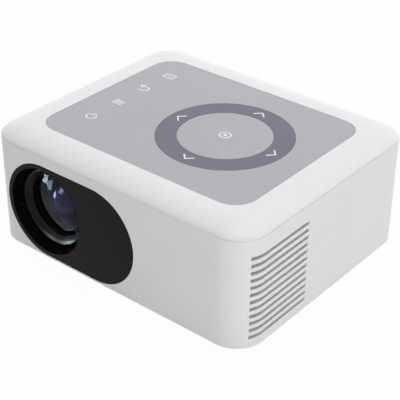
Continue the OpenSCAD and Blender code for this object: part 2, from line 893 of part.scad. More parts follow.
module front_element() {
    color("lightblue", 0.5) at_lens() translate([0, glass_back, 0]) rotate([90, 0, 0])
        domed_lens(glass_r, clear_r, glass_sag, glass_edge_t);
}

module inner_elements() {
    r = barrel_r - barrel_wall - 0.05;
    color("lightblue", 0.5) at_lens() {
        rod_y(r, barrel_back - 6.2, barrel_back - 1.2);
        rod_y(r, shelf_back + 8, shelf_back + 13);
    }
}

module lens_retainer() {
    color("black") at_lens() tube_y(glass_r, clear_r + 0.2, glass_front - 1.6, glass_front);
}

module lens_mount() {
    color("gray") difference() {
        union() {
            at_lens() rod_y(mount_out_r, mount_front, engine_y0);
            block([pinion_x - 8, engine_y0 - mount_plate_t, lens_z - 7], [lens_x, engine_y0, lens_z + 7]);
            block([lens_x - mount_out_r - 1.5, engine_y0 - mount_plate_t, lens_z - mount_out_r + 0.5],
                  [lens_x + mount_out_r + 1.5, engine_y0, lens_z + mount_out_r - 0.5]);
        }
        at_lens() rod_y(mount_in_r, mount_front - over, engine_y0 + over);
        for (a = [90, 210, 330]) at_lens() rotate([0, a, 0])
            block([barrel_r - 1, cam_y - focus_travel - cam_pin_r - 0.1, -cam_pin_r - 0.1],
                  [mount_out_r + 1, cam_y + focus_travel + cam_pin_r + 0.1, cam_pin_r + 0.1]);
        translate([pinion_x, 0, lens_z])
            rod_y(focus_shaft_r + run_fit, engine_y0 - 5, engine_y0 + over, fine);
    }
}

function tooth_points(n, i, m) = let (
        step = 360 / n,
        a = i * step,
        pitch = m * n / 2
    ) [for (p = [[-0.30, -1.15], [-0.12, 0.85], [0.12, 0.85], [0.30, -1.15]])
        let (r = pitch + p[1] * m, b = a + p[0] * step) [r * cos(b), r * sin(b)]];

module gear_outline(n, m) {
    polygon([for (i = [0 : n - 1]) each tooth_points(n, i, m)]);
}

module focus_ring() {
    color("dimgray") at_lens() difference() {
        union() {
            rod_y(ring_smooth_r, ring_front, gear_y0 + 0.1);
            along_y(gear_y0, ring_back) gear_outline(ring_teeth, gear_module);
        }
        rod_y(mount_out_r + run_fit, ring_front - over, ring_back + over);
        rod_y(groove_r, cam_y - focus_travel - cam_pin_r - 0.6, cam_y + focus_travel + cam_pin_r + 0.6);
    }
}

module focus_pinion() {
    color("ivory") translate([pinion_x, 0, lens_z]) {
        along_y(gear_y0, ring_back - 0.2) rotate(180 / pinion_teeth)
            gear_outline(pinion_teeth, gear_module);
        rod_y(focus_shaft_r, ring_back - 0.3, engine_y0 - 0.02, fine);
    }
}

module focus_motor() {
    color("silver") translate([pinion_x, 0, lens_z])
        rod_y(focus_motor_r, engine_y0, engine_y0 + focus_motor_len);
}

// ---- optical engine ----
module plate_slot(x, t) {
    for (y = [engine_y0 + engine_wall - 0.1, engine_y1 - engine_wall - 1.9], s = side_signs)
        block([x + t / 2 + s * (t / 2 + fit + 0.75) - 0.75, y, engine_floor - 0.1],
              [x + t / 2 + s * (t / 2 + fit + 0.75) + 0.75, y + 2, engine_z1 - 4]);
}

module mirror_frame(t0, t1, len, z0, z1) {
    translate([lens_x, path_y, 0]) rotate([0, 0, 45]) block([-len / 2, t0, z0], [len / 2, t1, z1]);
}

module engine_box() {
    color("dimgray") difference() {
        union() {
            difference() {
                block([engine_x0, engine_y0, engine_z0], [engine_x1, engine_y1, engine_z1]);
                block([engine_x0 + engine_wall, engine_y0 + engine_wall, engine_floor],
                      [engine_x1 - engine_wall, engine_y1 - engine_wall, engine_z1 + over]);
            }
            for (x = fresnel_x) plate_slot(x, fresnel_t);
            plate_slot(lcd_x, lcd_t);
            mirror_frame(mirror_t + fit, mirror_t + fit + 2, mirror_len - 8,
                engine_floor - 0.1, engine_z1 - 10);
            translate([0, path_y, lens_z])
                difference() {
                    rod_x(condenser_r + 2, condenser_x, engine_x1 - engine_wall + 0.1, smooth);
                    rod_x(condenser_r + 0.1, condenser_x - over, engine_x1, smooth);
                }
        }
        at_lens() rod_y(barrel_r + 0.6, engine_y0 - over, engine_y0 + engine_wall + over);
        translate([0, path_y, lens_z])
            rod_x(light_r, engine_x1 - engine_wall - over, engine_x1 + over, smooth);
    }
}

module engine_lid() {
    color("gray") block([engine_x0, engine_y0, engine_z1], [engine_x1, engine_y1, engine_z1 + lid_t]);
}

module fold_mirror() {
    color("lightgray") mirror_frame(0, mirror_t, mirror_len, engine_floor, engine_floor + plate_h - 1);
}

module engine_plate(x, t) {
    block([x, engine_y0 + engine_wall + 0.3, engine_floor],
          [x + t, engine_y1 - engine_wall - 0.3, engine_floor + plate_h]);
}

module fresnel_lenses() {
    color("lightcyan", 0.5) for (x = fresnel_x) engine_plate(x, fresnel_t);
}

module lcd_panel() {
    color("darkslategray") engine_plate(lcd_x, lcd_t);
}

module condenser_lens() {
    color("lightcyan", 0.5) translate([engine_x1 - engine_wall, path_y, lens_z]) rotate([0, -90, 0])
        domed_lens(condenser_r, condenser_r - 1, condenser_sag, condenser_edge_t);
}

module led_module() {
    color("peru") {
        block([engine_x1, path_y - led_half_y, lens_z - led_half_z],
              [engine_x1 + led_t, path_y + led_half_y, lens_z + led_half_z]);
        block([engine_x1 - 1, path_y - led_die, lens_z - led_die],
              [engine_x1, path_y + led_die, lens_z + led_die]);
    }
}

module heat_sink() {
    step = (sink_y1 - sink_y0 - fin_t) / (fin_count - 1);
    color("silver") {
        block([sink_x0, sink_y0, sink_z0], [sink_x0 + sink_base_t, sink_y1, sink_z1]);
        for (i = [0 : fin_count - 1])
            block([sink_x0 + sink_base_t - 0.1, sink_y0 + i * step, sink_z0],
                  [exhaust_x0 - fin_gap, sink_y0 + i * step + fin_t, sink_z1]);
    }
}

// ---- fans ----
module fan_frame(x0, t, y, z, size) {
    hole_r = size / 2 - 1.5;
    hub_r = size * hub_share;
    strut_t = 2;
    translate([0, y, z]) {
        difference() {
            block([x0, -size / 2, -size / 2], [x0 + t, size / 2, size / 2]);
            rod_x(hole_r, x0 - over, x0 + t + over, smooth);
            for (sy = side_signs, sz = side_signs) translate([0, sy * (size / 2 - 5), sz * (size / 2 - 5)])
                rod_x(1.8, x0 - over, x0 + t + over);
        }
        rod_x(hub_r, x0, x0 + strut_t, smooth);
        for (a = [45, 135, 225, 315]) rotate([a, 0, 0])
            block([x0, -1.5, hub_r - 0.5], [x0 + strut_t, 1.5, hole_r + 0.3]);
        rod_x(fan_shaft_r, x0 + 1, x0 + t - 3);
    }
}

module fan_rotor(x0, t, y, z, size) {
    hub_r = size * hub_share;
    tip_r = size / 2 - 2.3;
    hub_x0 = x0 + 2.4;
    hub_x1 = x0 + t - 1;
    mid = (hub_x0 + hub_x1) / 2;
    depth = hub_x1 - hub_x0 - 2;
    translate([0, y, z]) difference() {
        union() {
            rod_x(hub_r, hub_x0, hub_x1, smooth);
            intersection() {
                for (i = [0 : blade_count - 1]) rotate([i * 360 / blade_count, 0, 0])
                    translate([mid, 0, hub_r - 0.5]) rotate([0, 0, 38])
                        translate([-depth, -0.5, 0]) cube([2 * depth, 1, tip_r]);
                rod_x(tip_r, hub_x0 + 0.8, hub_x1 - 0.8, smooth);
            }
        }
        rod_x(fan_shaft_r + run_fit, hub_x0 - over, x0 + t - 2.6);
    }
}

module exhaust_frame() {
    color("black") fan_frame(exhaust_x0, exhaust_t, exhaust_y, exhaust_z, exhaust_size);
}

module exhaust_rotor() {
    color("dimgray") fan_rotor(exhaust_x0, exhaust_t, exhaust_y, exhaust_z, exhaust_size);
}

module intake_frame() {
    color("black") fan_frame(intake_x0, intake_t, intake_y, intake_z, intake_size);
}

module intake_rotor() {
    color("dimgray") fan_rotor(intake_x0, intake_t, intake_y, intake_z, intake_size);
}

module dust_filter() {
    half = intake_size / 2;
    cell = 8;
    hole = 3;
    color("gray") difference() {
        block([filter_x0, intake_y - half, intake_z - half],
              [filter_x0 + filter_t, intake_y + half, intake_z + half]);
        for (i = [-2 : 2], j = [-2 : 2])
            block([filter_x0 - over, intake_y + i * cell - hole, intake_z + j * cell - hole],
                  [filter_x0 + filter_t + over, intake_y + i * cell + hole, intake_z + j * cell + hole]);
    }
}

// ---- electronics ----
module main_board() {
    color("darkgreen") block([main_x0, board_y0, board_z], [main_x1, board_y1, board_top]);
}

module chip(x, y, w, d, h) {
    translate([x, y, board_top]) cube([w, d, h]);
}

module can(x, y, r, h) {
    translate([x, y, board_top]) cylinder(r = r, h = h, $fn = fine);
}

module board_components() {
    color("black") {
        chip(main_x0 + 26, board_y0 + 4, 24, 24, 2);
        for (y = [3, 17]) chip(main_x0 + 60, board_y0 + y, 14, 10, 1.4);
        for (x = [80, 88], y = [6, 20]) can(main_x0 + x, board_y0 + y, 3, 8);
        chip(main_x0 + 6, board_y0 + 1, 12, 30, 5);
    }
}

module socket_shell(x, w, h, tongue) {
    difference() {
        block([x - w / 2, socket_y1 - socket_len, board_top], [x + w / 2, socket_y1, board_top + h]);
        block([x - w / 2 + socket_wall, socket_y1 - socket_len + 5, board_top + socket_wall],
              [x + w / 2 - socket_wall, socket_y1 + over, board_top + h - socket_wall]);
    }
    block([x - w / 2 + 2, socket_y1 - socket_len + 4, board_top + h / 2 - tongue / 2],
          [x + w / 2 - 2, socket_y1 - 1.5, board_top + h / 2 + tongue / 2]);
}

module hdmi_sockets() {
    color("silver") for (x = hdmi_x) socket_shell(x, hdmi_w, hdmi_h, 1);
}

module usb_sockets() {
    color("silver") for (x = usb_x) socket_shell(x, usb_w, usb_h, 1.6);
}

module audio_jacks() {
    color("black") for (x = jack_x) difference() {
        block([x - jack_w / 2, socket_y1 - jack_depth - 1, board_top],
              [x + jack_w / 2, socket_y1, board_top + jack_h]);
        translate([x, 0, board_top + jack_h / 2])
            rod_y(jack_r, socket_y1 - jack_depth, socket_y1 + over, fine);
    }
}

module port_panel() {
    y0 = in_rear + 0.2;
    color("black") difference() {
        block([port_x0, y0, port_z0], [port_x1, port_y1, port_z1]);
        for (x = hdmi_x) port_hole(x, hdmi_w, hdmi_h);
        for (x = usb_x) port_hole(x, usb_w, usb_h);
        for (x = jack_x) port_hole(x, jack_w, jack_h);
    }
}

module port_hole(x, w, h) {
    block([x - w / 2 - fit, in_rear - over, board_top - fit],
          [x + w / 2 + fit, rear_y + over, board_top + h + fit]);
}

module power_board() {
    color("darkgreen") block([power_x0, board_y0, board_z], [power_x1, board_y1, board_top]);
}

module power_components() {
    color("goldenrod") {
        chip(power_x0 + 8, board_y0 + 2, 24, 22, 20);
        for (y = [8, 23]) can(power_x0 + 42, board_y0 + y, 6, 22);
        chip(power_x0 + 6, board_y0 + 26, 20, 4, 14);
    }
}

module mains_inlet() {
    y1 = rear_y - 0.3;
    y0 = y1 - inlet_depth;
    mid_z = inlet_z0 + inlet_h / 2;
    color("black") {
        difference() {
            block([inlet_x - inlet_w / 2, y0, inlet_z0], [inlet_x + inlet_w / 2, y1, inlet_z0 + inlet_h]);
            block([inlet_x - inlet_hole_w / 2, y0 + 3, mid_z - inlet_hole_h / 2],
                  [inlet_x + inlet_hole_w / 2, y1 + over, mid_z + inlet_hole_h / 2]);
        }
        for (s = side_signs) {
            translate([inlet_x + s * inlet_pin_x, 0, mid_z]) rod_y(inlet_pin_r, y0 + 2.5, y1 - 4, fine);
            translate([inlet_x + s * 6, y0 + 2, board_top]) bracket_leg(inlet_z0 + 0.1 - board_top);
        }
    }
}

module bracket_leg(h) {
    translate([-1, 0, 0]) cube([2, 4, h]);
}

module ir_window() {
    color("maroon") block([-ir_w / 2, in_rear + 0.2, ir_z - ir_h / 2],
                          [ir_w / 2, rear_y - 0.3, ir_z + ir_h / 2]);
}

module speaker_frames() {
    color("dimgray") for (s = side_signs) translate([s * speaker_mid_x, 0, speaker_z]) {
        tube_y(speaker_r, speaker_r - 2.5, in_rear - 2, in_rear);
        tube_y(speaker_r - 1, speaker_r - 2.5, in_rear - basket_depth, in_rear - 1.9);
        rod_y(speaker_r - 1, in_rear - basket_depth - 1, in_rear - basket_depth + 0.1);
        rod_y(magnet_r, in_rear - basket_depth - 6, in_rear - basket_depth - 0.9);
    }
}

module speaker_cones() {
    color("black") for (s = side_signs)
        translate([s * speaker_mid_x, in_rear - cone_h - 1.6, speaker_z]) rotate([-90, 0, 0])
            difference() {
                cylinder(r1 = cone_in_r, r2 = speaker_r - 2.8, h = cone_h, $fn = smooth);
                translate([0, 0, 1.5])
                    cylinder(r1 = cone_in_r - 1, r2 = speaker_r - 3.4, h = cone_h - 1, $fn = smooth);
            }
}

// ---- disc drive ----
module at_drive() {
    translate([0, drive_y, 0]) children();
}

module drive_bracket() {
    color("silver") difference() {
        union() {
            block([bracket_x[0] - bracket_front, drive_y - drive_w / 2 + bracket_in, bracket_z],
                  [bracket_x[1] + bracket_back, drive_y + drive_w / 2 - bracket_in, bracket_top]);
            for (x = bracket_x)
                block([x - ear_half, bracket_y[0] - ear_half, bracket_z],
                      [x + ear_half, bracket_y[1] + ear_half, bracket_top]);
        }
        for (x = bracket_x, y = bracket_y) translate([x, y, bracket_z - over])
            cylinder(r = screw_r + 0.2, h = bracket_t + 2 * over, $fn = fine);
    }
}

module drive_chassis() {
    half = drive_w / 2;
    color("silver") at_drive() {
        block([drive_x0, -half, drive_z0], [drive_x1, half, drive_z0 + sheet_t]);
        for (s = side_signs)
            block([drive_x0, s * (half - sheet_t / 2) - sheet_t / 2, drive_z0],
                  [drive_x1, s * (half - sheet_t / 2) + sheet_t / 2, drive_z1 - sheet_t]);
        block([drive_x1 - sheet_t, -half, drive_z0], [drive_x1, half, drive_z1 - sheet_t]);
    }
}

module drive_cover() {
    color("lightgray") at_drive()
        block([drive_x0, -drive_w / 2, drive_z1 - sheet_t], [drive_x1, drive_w / 2, drive_z1]);
}

module slide_rails() {
    mid = (rail_y0 + rail_y1) / 2;
    color("gray") at_drive() for (s = side_signs)
        block([rail_x0, s * mid - rail_t / 2, rail_z0],
              [rail_x0 + rail_len, s * mid + rail_t / 2, rail_z0 + rail_h]);
}

module at_spindle() {
    translate([disc_x, drive_y, 0]) rotate([0, 0, mech_angle]) children();
}

module disc_tray() {
    button_mid = drive_y + button_y;
    color("dimgray") difference() {
        block([tray_x0, drive_y - tray_half, tray_z0], [tray_x1, drive_y + tray_half, tray_z1]);
        translate([disc_x, drive_y, 0]) {
            translate([0, 0, recess_z]) cylinder(r = recess_r, h = recess_h + over, $fn = 96);
            translate([0, 0, recess_z - 0.9]) cylinder(r = small_disc_r, h = recess_h + over, $fn = smooth);
            translate([0, 0, tray_z0 - over]) cylinder(r = rotor_r + 2.5, h = tray_h, $fn = smooth);
        }
        at_spindle() {
            block([0, window_v0, tray_z0 - over], [window_u1, window_v1, tray_z1 + over]);
            block([-19, window_v0 - 5, tray_z0 - over], [window_u1 + 3, window_v1 + 1.5, sheet_z1]);
        }
        block([tray_x0 - over, button_mid - button_w / 2 - 1.5, button_z - button_h / 2 - 0.8],
              [tray_x0 + button_pocket, button_mid + button_w / 2 + 1.5, tray_z1 + over]);
    }
}

module tray_bezel() {
    color("white") at_drive() difference() {
        block([tray_x0 - tray_bezel_t, -bezel_half, bezel_z0], [tray_x0, bezel_half, bezel_z1]);
        block([tray_x0 - tray_bezel_t - over, button_y - button_w / 2 - fit, button_z - button_h / 2 - fit],
              [tray_x0 + over, button_y + button_w / 2 + fit, button_z + button_h / 2 + fit]);
        translate([0, button_y - 16, button_z]) rod_x(0.7, tray_x0 - tray_bezel_t - over, tray_x0 + over);
    }
}

module eject_button() {
    color("lightgray") at_drive() {
        block([tray_x0 - tray_bezel_t - 0.2, button_y - button_w / 2, button_z - button_h / 2],
              [tray_x0 + 0.3, button_y + button_w / 2, button_z + button_h / 2]);
        block([tray_x0 + 0.2, button_y - button_w / 2 - 1, button_z - button_h / 2 - 0.4],
              [tray_x0 + 1.2, button_y + button_w / 2 + 1, button_z + button_h / 2 + 0.4]);
        block([tray_x0 + 1.1, button_y - 2, button_z - 1],
              [tray_x0 + button_pocket - button_travel - 0.1, button_y + 2, button_z + 1]);
    }
}

module rod_holder(u, v) {
    difference() {
        block([u - holder_half, v - 2, sheet_z1 - 0.1], [u + holder_half, v + 2, rod_z + rod_r + 0.6]);
        translate([0, v, rod_z]) rod_x(rod_r + 0.03, u - 2, u + 2);
    }
}

module traverse_plate() {
    color("silver") at_spindle() {
        block([-18, window_v0 - 4, sheet_z0], [window_u1 + 2, window_v1 + 1, sheet_z1]);
        for (u = [rod_u0, rod_u1 - holder_half], v = [-rod_v, rod_v]) rod_holder(u, v);
        difference() {
            block([rod_u1 - 2 * holder_half, screw_v - 2, sheet_z1 - 0.1],
                  [rod_u1, screw_v + 2, rod_z + rod_r + 0.6]);
            translate([0, screw_v, rod_z]) rod_x(lead_r + run_fit, rod_u1 - 4, rod_u1 + 1);
        }
    }
}

module spindle_motor() {
    color("darkgray") translate([disc_x, drive_y, sheet_z1]) {
        cylinder(r = rotor_r - 1, h = 1, $fn = smooth);
        cylinder(r = 1, h = 4.2, $fn = fine);
    }
}

module spindle_hub() {
    z0 = sheet_z1 + 1.2;
    color("silver") translate([disc_x, drive_y, 0]) difference() {
        union() {
            translate([0, 0, z0]) cylinder(r = rotor_r, h = 2.2, $fn = smooth);
            translate([0, 0, z0]) cylinder(r = 9.5, h = disc_z - z0, $fn = smooth);
            translate([0, 0, disc_z - 0.1]) cylinder(r1 = 7.4, r2 = 6.4, h = 2, $fn = smooth);
        }
        translate([0, 0, z0 - over]) cylinder(r = 1 + run_fit, h = 3.4 + over, $fn = fine);
    }
}

module guide_rods() {
    color("silver") at_spindle() for (v = [-rod_v, rod_v])
        translate([0, v, rod_z]) rod_x(rod_r, rod_u0 - holder_half, rod_u1);
}

module pickup_sled() {
    color("black") at_spindle() difference() {
        union() {
            block([sled_u - sled_half, -rod_v - 2.6, rod_z - 1.5],
                  [sled_u + sled_half, rod_v + 2.6, rod_z + 1.5]);
            block([sled_u - 2, rod_v + 2.5, rod_z - 1], [sled_u + 2, screw_v - lead_r - 0.15, rod_z + 1]);
            translate([sled_u + 3, 0, rod_z + 1.4]) cylinder(r = 2.6, h = 0.7, $fn = fine);
        }
        for (v = [-rod_v, rod_v]) translate([0, v, rod_z]) rod_x(rod_r + run_fit, sled_u - 10, sled_u + 10);
    }
}

module lead_screw() {
    color("goldenrod") at_spindle() translate([0, screw_v, rod_z]) rod_x(lead_r, lead_u0, rod_u1);
}

module sled_motor() {
    color("silver") at_spindle() translate([0, screw_v, rod_z])
        rod_x(sled_motor_r, lead_u0 - 11.4, lead_u0 - 0.2);
}

main_shell();
top_cover();
control_panel();
ring_pad();
panel_icons();
touch_board();
bottom_cover();
screws();
rubber_feet();
foot_pad();
foot_screw();
tripod_insert();
lens_bezel();
lens_barrel();
front_element();
inner_elements();
lens_retainer();
lens_mount();
focus_ring();
focus_pinion();
focus_motor();
engine_box();
engine_lid();
fold_mirror();
fresnel_lenses();
lcd_panel();
condenser_lens();
led_module();
heat_sink();
exhaust_frame();
exhaust_rotor();
intake_frame();
intake_rotor();
dust_filter();
main_board();
board_components();
port_panel();
hdmi_sockets();
usb_sockets();
audio_jacks();
power_board();
power_components();
mains_inlet();
ir_window();
speaker_frames();
speaker_cones();
drive_bracket();
drive_chassis();
drive_cover();
slide_rails();
disc_tray();
tray_bezel();
eject_button();
traverse_plate();
spindle_motor();
spindle_hub();
guide_rods();
pickup_sled();
lead_screw();
sled_motor();
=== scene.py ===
"""A desktop projector with a slim disc drive: the finish of every surface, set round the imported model."""
import json
import math

import bmesh
import bpy
from mathutils import Matrix, Vector

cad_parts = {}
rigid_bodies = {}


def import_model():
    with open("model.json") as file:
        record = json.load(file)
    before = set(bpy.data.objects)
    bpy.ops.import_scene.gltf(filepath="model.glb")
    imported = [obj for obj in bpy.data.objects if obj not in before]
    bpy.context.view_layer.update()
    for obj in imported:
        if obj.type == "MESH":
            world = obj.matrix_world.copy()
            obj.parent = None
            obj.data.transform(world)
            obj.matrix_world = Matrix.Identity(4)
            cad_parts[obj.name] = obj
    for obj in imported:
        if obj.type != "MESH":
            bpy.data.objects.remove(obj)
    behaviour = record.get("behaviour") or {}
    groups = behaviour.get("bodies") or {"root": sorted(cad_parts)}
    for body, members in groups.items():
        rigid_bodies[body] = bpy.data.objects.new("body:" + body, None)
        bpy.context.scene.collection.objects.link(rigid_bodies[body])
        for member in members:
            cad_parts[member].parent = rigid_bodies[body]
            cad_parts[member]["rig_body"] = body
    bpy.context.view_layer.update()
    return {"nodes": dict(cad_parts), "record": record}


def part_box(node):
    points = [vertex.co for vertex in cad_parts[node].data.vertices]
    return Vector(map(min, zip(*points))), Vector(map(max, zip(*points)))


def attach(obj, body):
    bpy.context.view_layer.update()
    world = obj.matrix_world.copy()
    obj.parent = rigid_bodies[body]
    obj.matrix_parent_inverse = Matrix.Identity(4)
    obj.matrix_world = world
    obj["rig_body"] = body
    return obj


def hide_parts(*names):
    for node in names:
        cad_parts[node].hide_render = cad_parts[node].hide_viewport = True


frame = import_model()
NODES = frame["nodes"]
SLOT_OF = {p["node"]: p["material_slot"] for p in frame["record"]["subparts"]}
MM = 0.001
UP, ALONG_X, ALONG_Y = (0, 0, 1), (1, 0, 0), (0, 1, 0)
MERGE = 0.001 * MM                     # points closer than this are one
SHARP = 35.0                           # degrees between two faces from which their edge is sharp


# ---------------------------------------------------------------- colours and node groups
def screen(*rgb):
    """A colour given as it shows on a screen, 0 to 255, as the linear value that a shader takes."""
    shares = [c / 255 for c in rgb]
    return (*(c / 12.92 if c <= 0.04045 else ((c + 0.055) / 1.055) ** 2.4 for c in shares), 1.0)


def add(tree, kind, values=None, **settings):
    """A new shader node with its settings, and with values for some of its inputs."""
    node = tree.nodes.new("ShaderNode" + kind)
    for key, value in settings.items():
        setattr(node, key, value)
    for key, value in (values or {}).items():
        node.inputs[key].default_value = value
    return node


def wire(tree, *rows):
    """Links sockets: each row is a node, its output, the next node and its input."""
    for source, output, target, entry in rows:
        tree.links.new(source.outputs[output], target.inputs[entry])


def new_group(name, inputs, outputs):
    """A node group with named sockets, its two end nodes, and the object's coordinates."""
    tree = bpy.data.node_groups.new(name, "ShaderNodeTree")
    for socket, default in inputs.items():
        kind = "NodeSocketFloat" if isinstance(default, float) else "NodeSocketVector"
        tree.interface.new_socket(socket, in_out="INPUT", socket_type=kind).default_value = default
    for socket in outputs:
        tree.interface.new_socket(socket, in_out="OUTPUT", socket_type="NodeSocketFloat")
    return tree, tree.nodes.new("NodeGroupInput"), tree.nodes.new("NodeGroupOutput"), add(tree, "TexCoord")


def build_grain():
    """Fine spark-eroded texture of moulded plastic."""
    tree, start, end, place = new_group("moulded_grain", {"Scale": 2000.0}, ("Height", "Mottle"))
    fine = add(tree, "TexNoise", {"Detail": 2.0, "Roughness": 0.6})
    coarse = add(tree, "TexNoise", {"Scale": 38.0, "Detail": 3.0})
    wire(tree, (place, "Object", fine, "Vector"), (place, "Object", coarse, "Vector"),
            (start, "Scale", fine, "Scale"), (fine, "Fac", end, "Height"), (coarse, "Fac", end, "Mottle"))
    return tree


def build_brushed():
    """Fine parallel lines of brushed or extruded metal, along a chosen axis."""
    tree, start, end, place = new_group("brushed_lines", {"Stretch": (40.0, 1500.0, 1500.0)}, ("Height", "Mottle"))
    spread = add(tree, "VectorMath", operation="MULTIPLY")
    lines = add(tree, "TexNoise", {"Scale": 1.0, "Detail": 3.0, "Roughness": 0.7})
    patches = add(tree, "TexNoise", {"Scale": 60.0, "Detail": 2.0})
    wire(tree, (place, "Object", spread, 0), (start, "Stretch", spread, 1), (spread, "Vector", lines, "Vector"),
            (place, "Object", patches, "Vector"), (lines, "Fac", end, "Height"), (patches, "Fac", end, "Mottle"))
    return tree


def mask_of(tree, start, end, *masks):
    """Puts out the product of two masks and the group's Amount."""
    both, share = (add(tree, "Math", operation="MULTIPLY") for _ in masks)
    wire(tree, (masks[0], "Result", both, 0), (masks[1], "Result", both, 1), (both, "Value", share, 0),
            (start, "Amount", share, 1), (share, "Value", end, "Mask"))


def build_edge_wear():
    """A mask that is 1 on outer edges, broken up by noise, where handling polishes the surface."""
    tree, start, end, place = new_group("edge_wear", {"Radius": 0.0004, "Amount": 1.0}, ("Mask",))
    soft, plain = add(tree, "Bevel", samples=4), add(tree, "NewGeometry")
    turn = add(tree, "VectorMath", operation="DOT_PRODUCT")
    edge = add(tree, "MapRange", {"From Min": 0.995, "From Max": 0.86})
    breaks = add(tree, "TexNoise", {"Scale": 260.0, "Detail": 4.0})
    rough = add(tree, "MapRange", {"From Min": 0.38, "From Max": 0.62})
    wire(tree, (start, "Radius", soft, "Radius"), (soft, "Normal", turn, 0), (plain, "Normal", turn, 1),
            (turn, "Value", edge, "Value"), (place, "Object", breaks, "Vector"), (breaks, "Fac", rough, "Value"))
    mask_of(tree, start, end, edge, rough)
    return tree


def build_dust():
    """Loose dust on what faces up: a thin mask of specks and haze."""
    tree, start, end, place = new_group("settled_dust", {"Amount": 0.1}, ("Mask",))
    shape, parts = add(tree, "NewGeometry"), add(tree, "SeparateXYZ")
    up = add(tree, "MapRange", {"From Min": 0.3, "From Max": 0.95})
    specks = add(tree, "TexNoise", {"Scale": 1400.0, "Detail": 2.0})
    sparse = add(tree, "MapRange", {"From Min": 0.6, "From Max": 0.74})
    wire(tree, (shape, "Normal", parts, "Vector"), (parts, "Z", up, "Value"), (place, "Object", specks, "Vector"),
            (specks, "Fac", sparse, "Value"))
    mask_of(tree, start, end, up, sparse)
    return tree


GRAIN, BRUSHED, EDGE_WEAR, DUST = build_grain(), build_brushed(), build_edge_wear(), build_dust()


# ---------------------------------------------------------------- materials
def shader(name, roughness, **sockets):
    """A material with its Principled BSDF; constant values go on the sockets themselves."""
    made = bpy.data.materials.new(name)
    made.use_nodes = True
    body = made.node_tree.nodes["Principled BSDF"]
    body.inputs["Roughness"].default_value = roughness
    for key, value in sockets.items():
        body.inputs[key.replace("_", " ")].default_value = value
    return made, made.node_tree, body


def mix_colour(tree, mask, *colours):
    """The first colour where the mask is 0, the second where it is 1; either may be a socket."""
    node = add(tree, "Mix", data_type="RGBA")
    tree.links.new(mask, node.inputs["Factor"])
    for key, colour in zip((6, 7), colours):
        if isinstance(colour, bpy.types.NodeSocket):
            tree.links.new(colour, node.inputs[key])
        else:
            node.inputs[key].default_value = screen(*colour)
    return node.outputs[2]


def spread_value(tree, source, low, high):
    """A value from low to high that follows a mask."""
    node = add(tree, "MapRange", {"To Min": low, "To Max": high, "From Min": 0.25, "From Max": 0.75})
    tree.links.new(source, node.inputs["Value"])
    return node.outputs["Result"]


def bump(tree, body, height, depth, strength=1.0):
    """Relief of a depth in millimetres."""
    node = add(tree, "Bump", {"Distance": depth * MM, "Strength": strength})
    tree.links.new(height, node.inputs["Height"])
    wire(tree, (node, "Normal", body, "Normal"))


def dressed(made, texture, colours, gloss, depth, worn, wear, dust=0.0):
    """Gives a textured surface its drift of tint and gloss, its worn edges and dust, and its relief."""
    tree = made.node_tree
    body = tree.nodes["Principled BSDF"]
    base = mix_colour(tree, spread_value(tree, texture.outputs["Mottle"], 0.0, 1.0), *colours)
    if worn:
        edges = add(tree, "Group", {"Radius": wear[0] * MM, "Amount": wear[1]}, node_tree=EDGE_WEAR)
        base = mix_colour(tree, edges.outputs["Mask"], base, worn)
    if dust:
        settled = add(tree, "Group", {"Amount": dust}, node_tree=DUST)
        base = mix_colour(tree, settled.outputs["Mask"], base, (196, 194, 188))
    tree.links.new(base, body.inputs["Base Color"])
    tree.links.new(spread_value(tree, *gloss), body.inputs["Roughness"])
    bump(tree, body, texture.outputs["Height"], depth)
    return made


def moulded(name, colour, deep, roughness, grain=2200.0, depth=0.012, worn=None, dust=0.0, **sockets):
    """Moulded plastic or rubber: a grained surface whose tint and gloss drift a little over its length."""
    made, tree, _ = shader(name, roughness, **sockets)
    texture = add(tree, "Group", {"Scale": grain}, node_tree=GRAIN)
    gloss = (texture.outputs["Mottle"], roughness - 0.04, roughness + 0.05)
    return dressed(made, texture, (colour, deep), gloss, depth, worn, (0.35, 0.55), dust)


def metal(name, colour, deep, roughness, stretch=(40.0, 1500.0, 1500.0), depth=0.006, worn=None):
    """Brushed, rolled or turned metal, with lines along one axis and a drift of tint."""
    made, tree, _ = shader(name, roughness, Metallic=1.0)
    lines = add(tree, "Group", {"Stretch": stretch}, node_tree=BRUSHED)
    gloss = (lines.outputs["Height"], roughness - 0.07, roughness + 0.1)
    return dressed(made, lines, (colour, deep), gloss, depth, worn, (0.3, 0.8))


def circuit_board(name):
    """Green solder mask over copper tracks, with tinned pads."""
    made, tree, body = shader(name, 0.32)
    place = add(tree, "TexCoord")
    cells = add(tree, "TexVoronoi", {"Scale": 330.0}, distance="MANHATTAN", feature="F1")
    tracks = add(tree, "TexBrick", {"Scale": 260.0, "Mortar Size": 0.16, "Brick Width": 2.6}, offset=0.37)
    pads = add(tree, "MapRange", {"From Min": 0.16, "From Max": 0.1})
    wire(tree, (place, "Object", cells, "Vector"), (place, "Object", tracks, "Vector"),
            (cells, "Distance", pads, "Value"))
    mask = mix_colour(tree, tracks.outputs["Fac"], (18, 92, 48), (10, 66, 32))
    tree.links.new(mix_colour(tree, pads.outputs["Result"], mask, (190, 184, 160)), body.inputs["Base Color"])
    bump(tree, body, tracks.outputs["Fac"], 0.03, 0.6)
    return made


def coated_glass(name, through, reflected, reflectance, bend=1.52, clear=1.0):
    """Optical glass with a coating that weakens and tints what it reflects."""
    return shader(name, 0.012, IOR=bend, Metallic=0.0, Transmission_Weight=clear, Base_Color=screen(*through),
            Specular_IOR_Level=reflectance, Specular_Tint=screen(*reflected))[0]


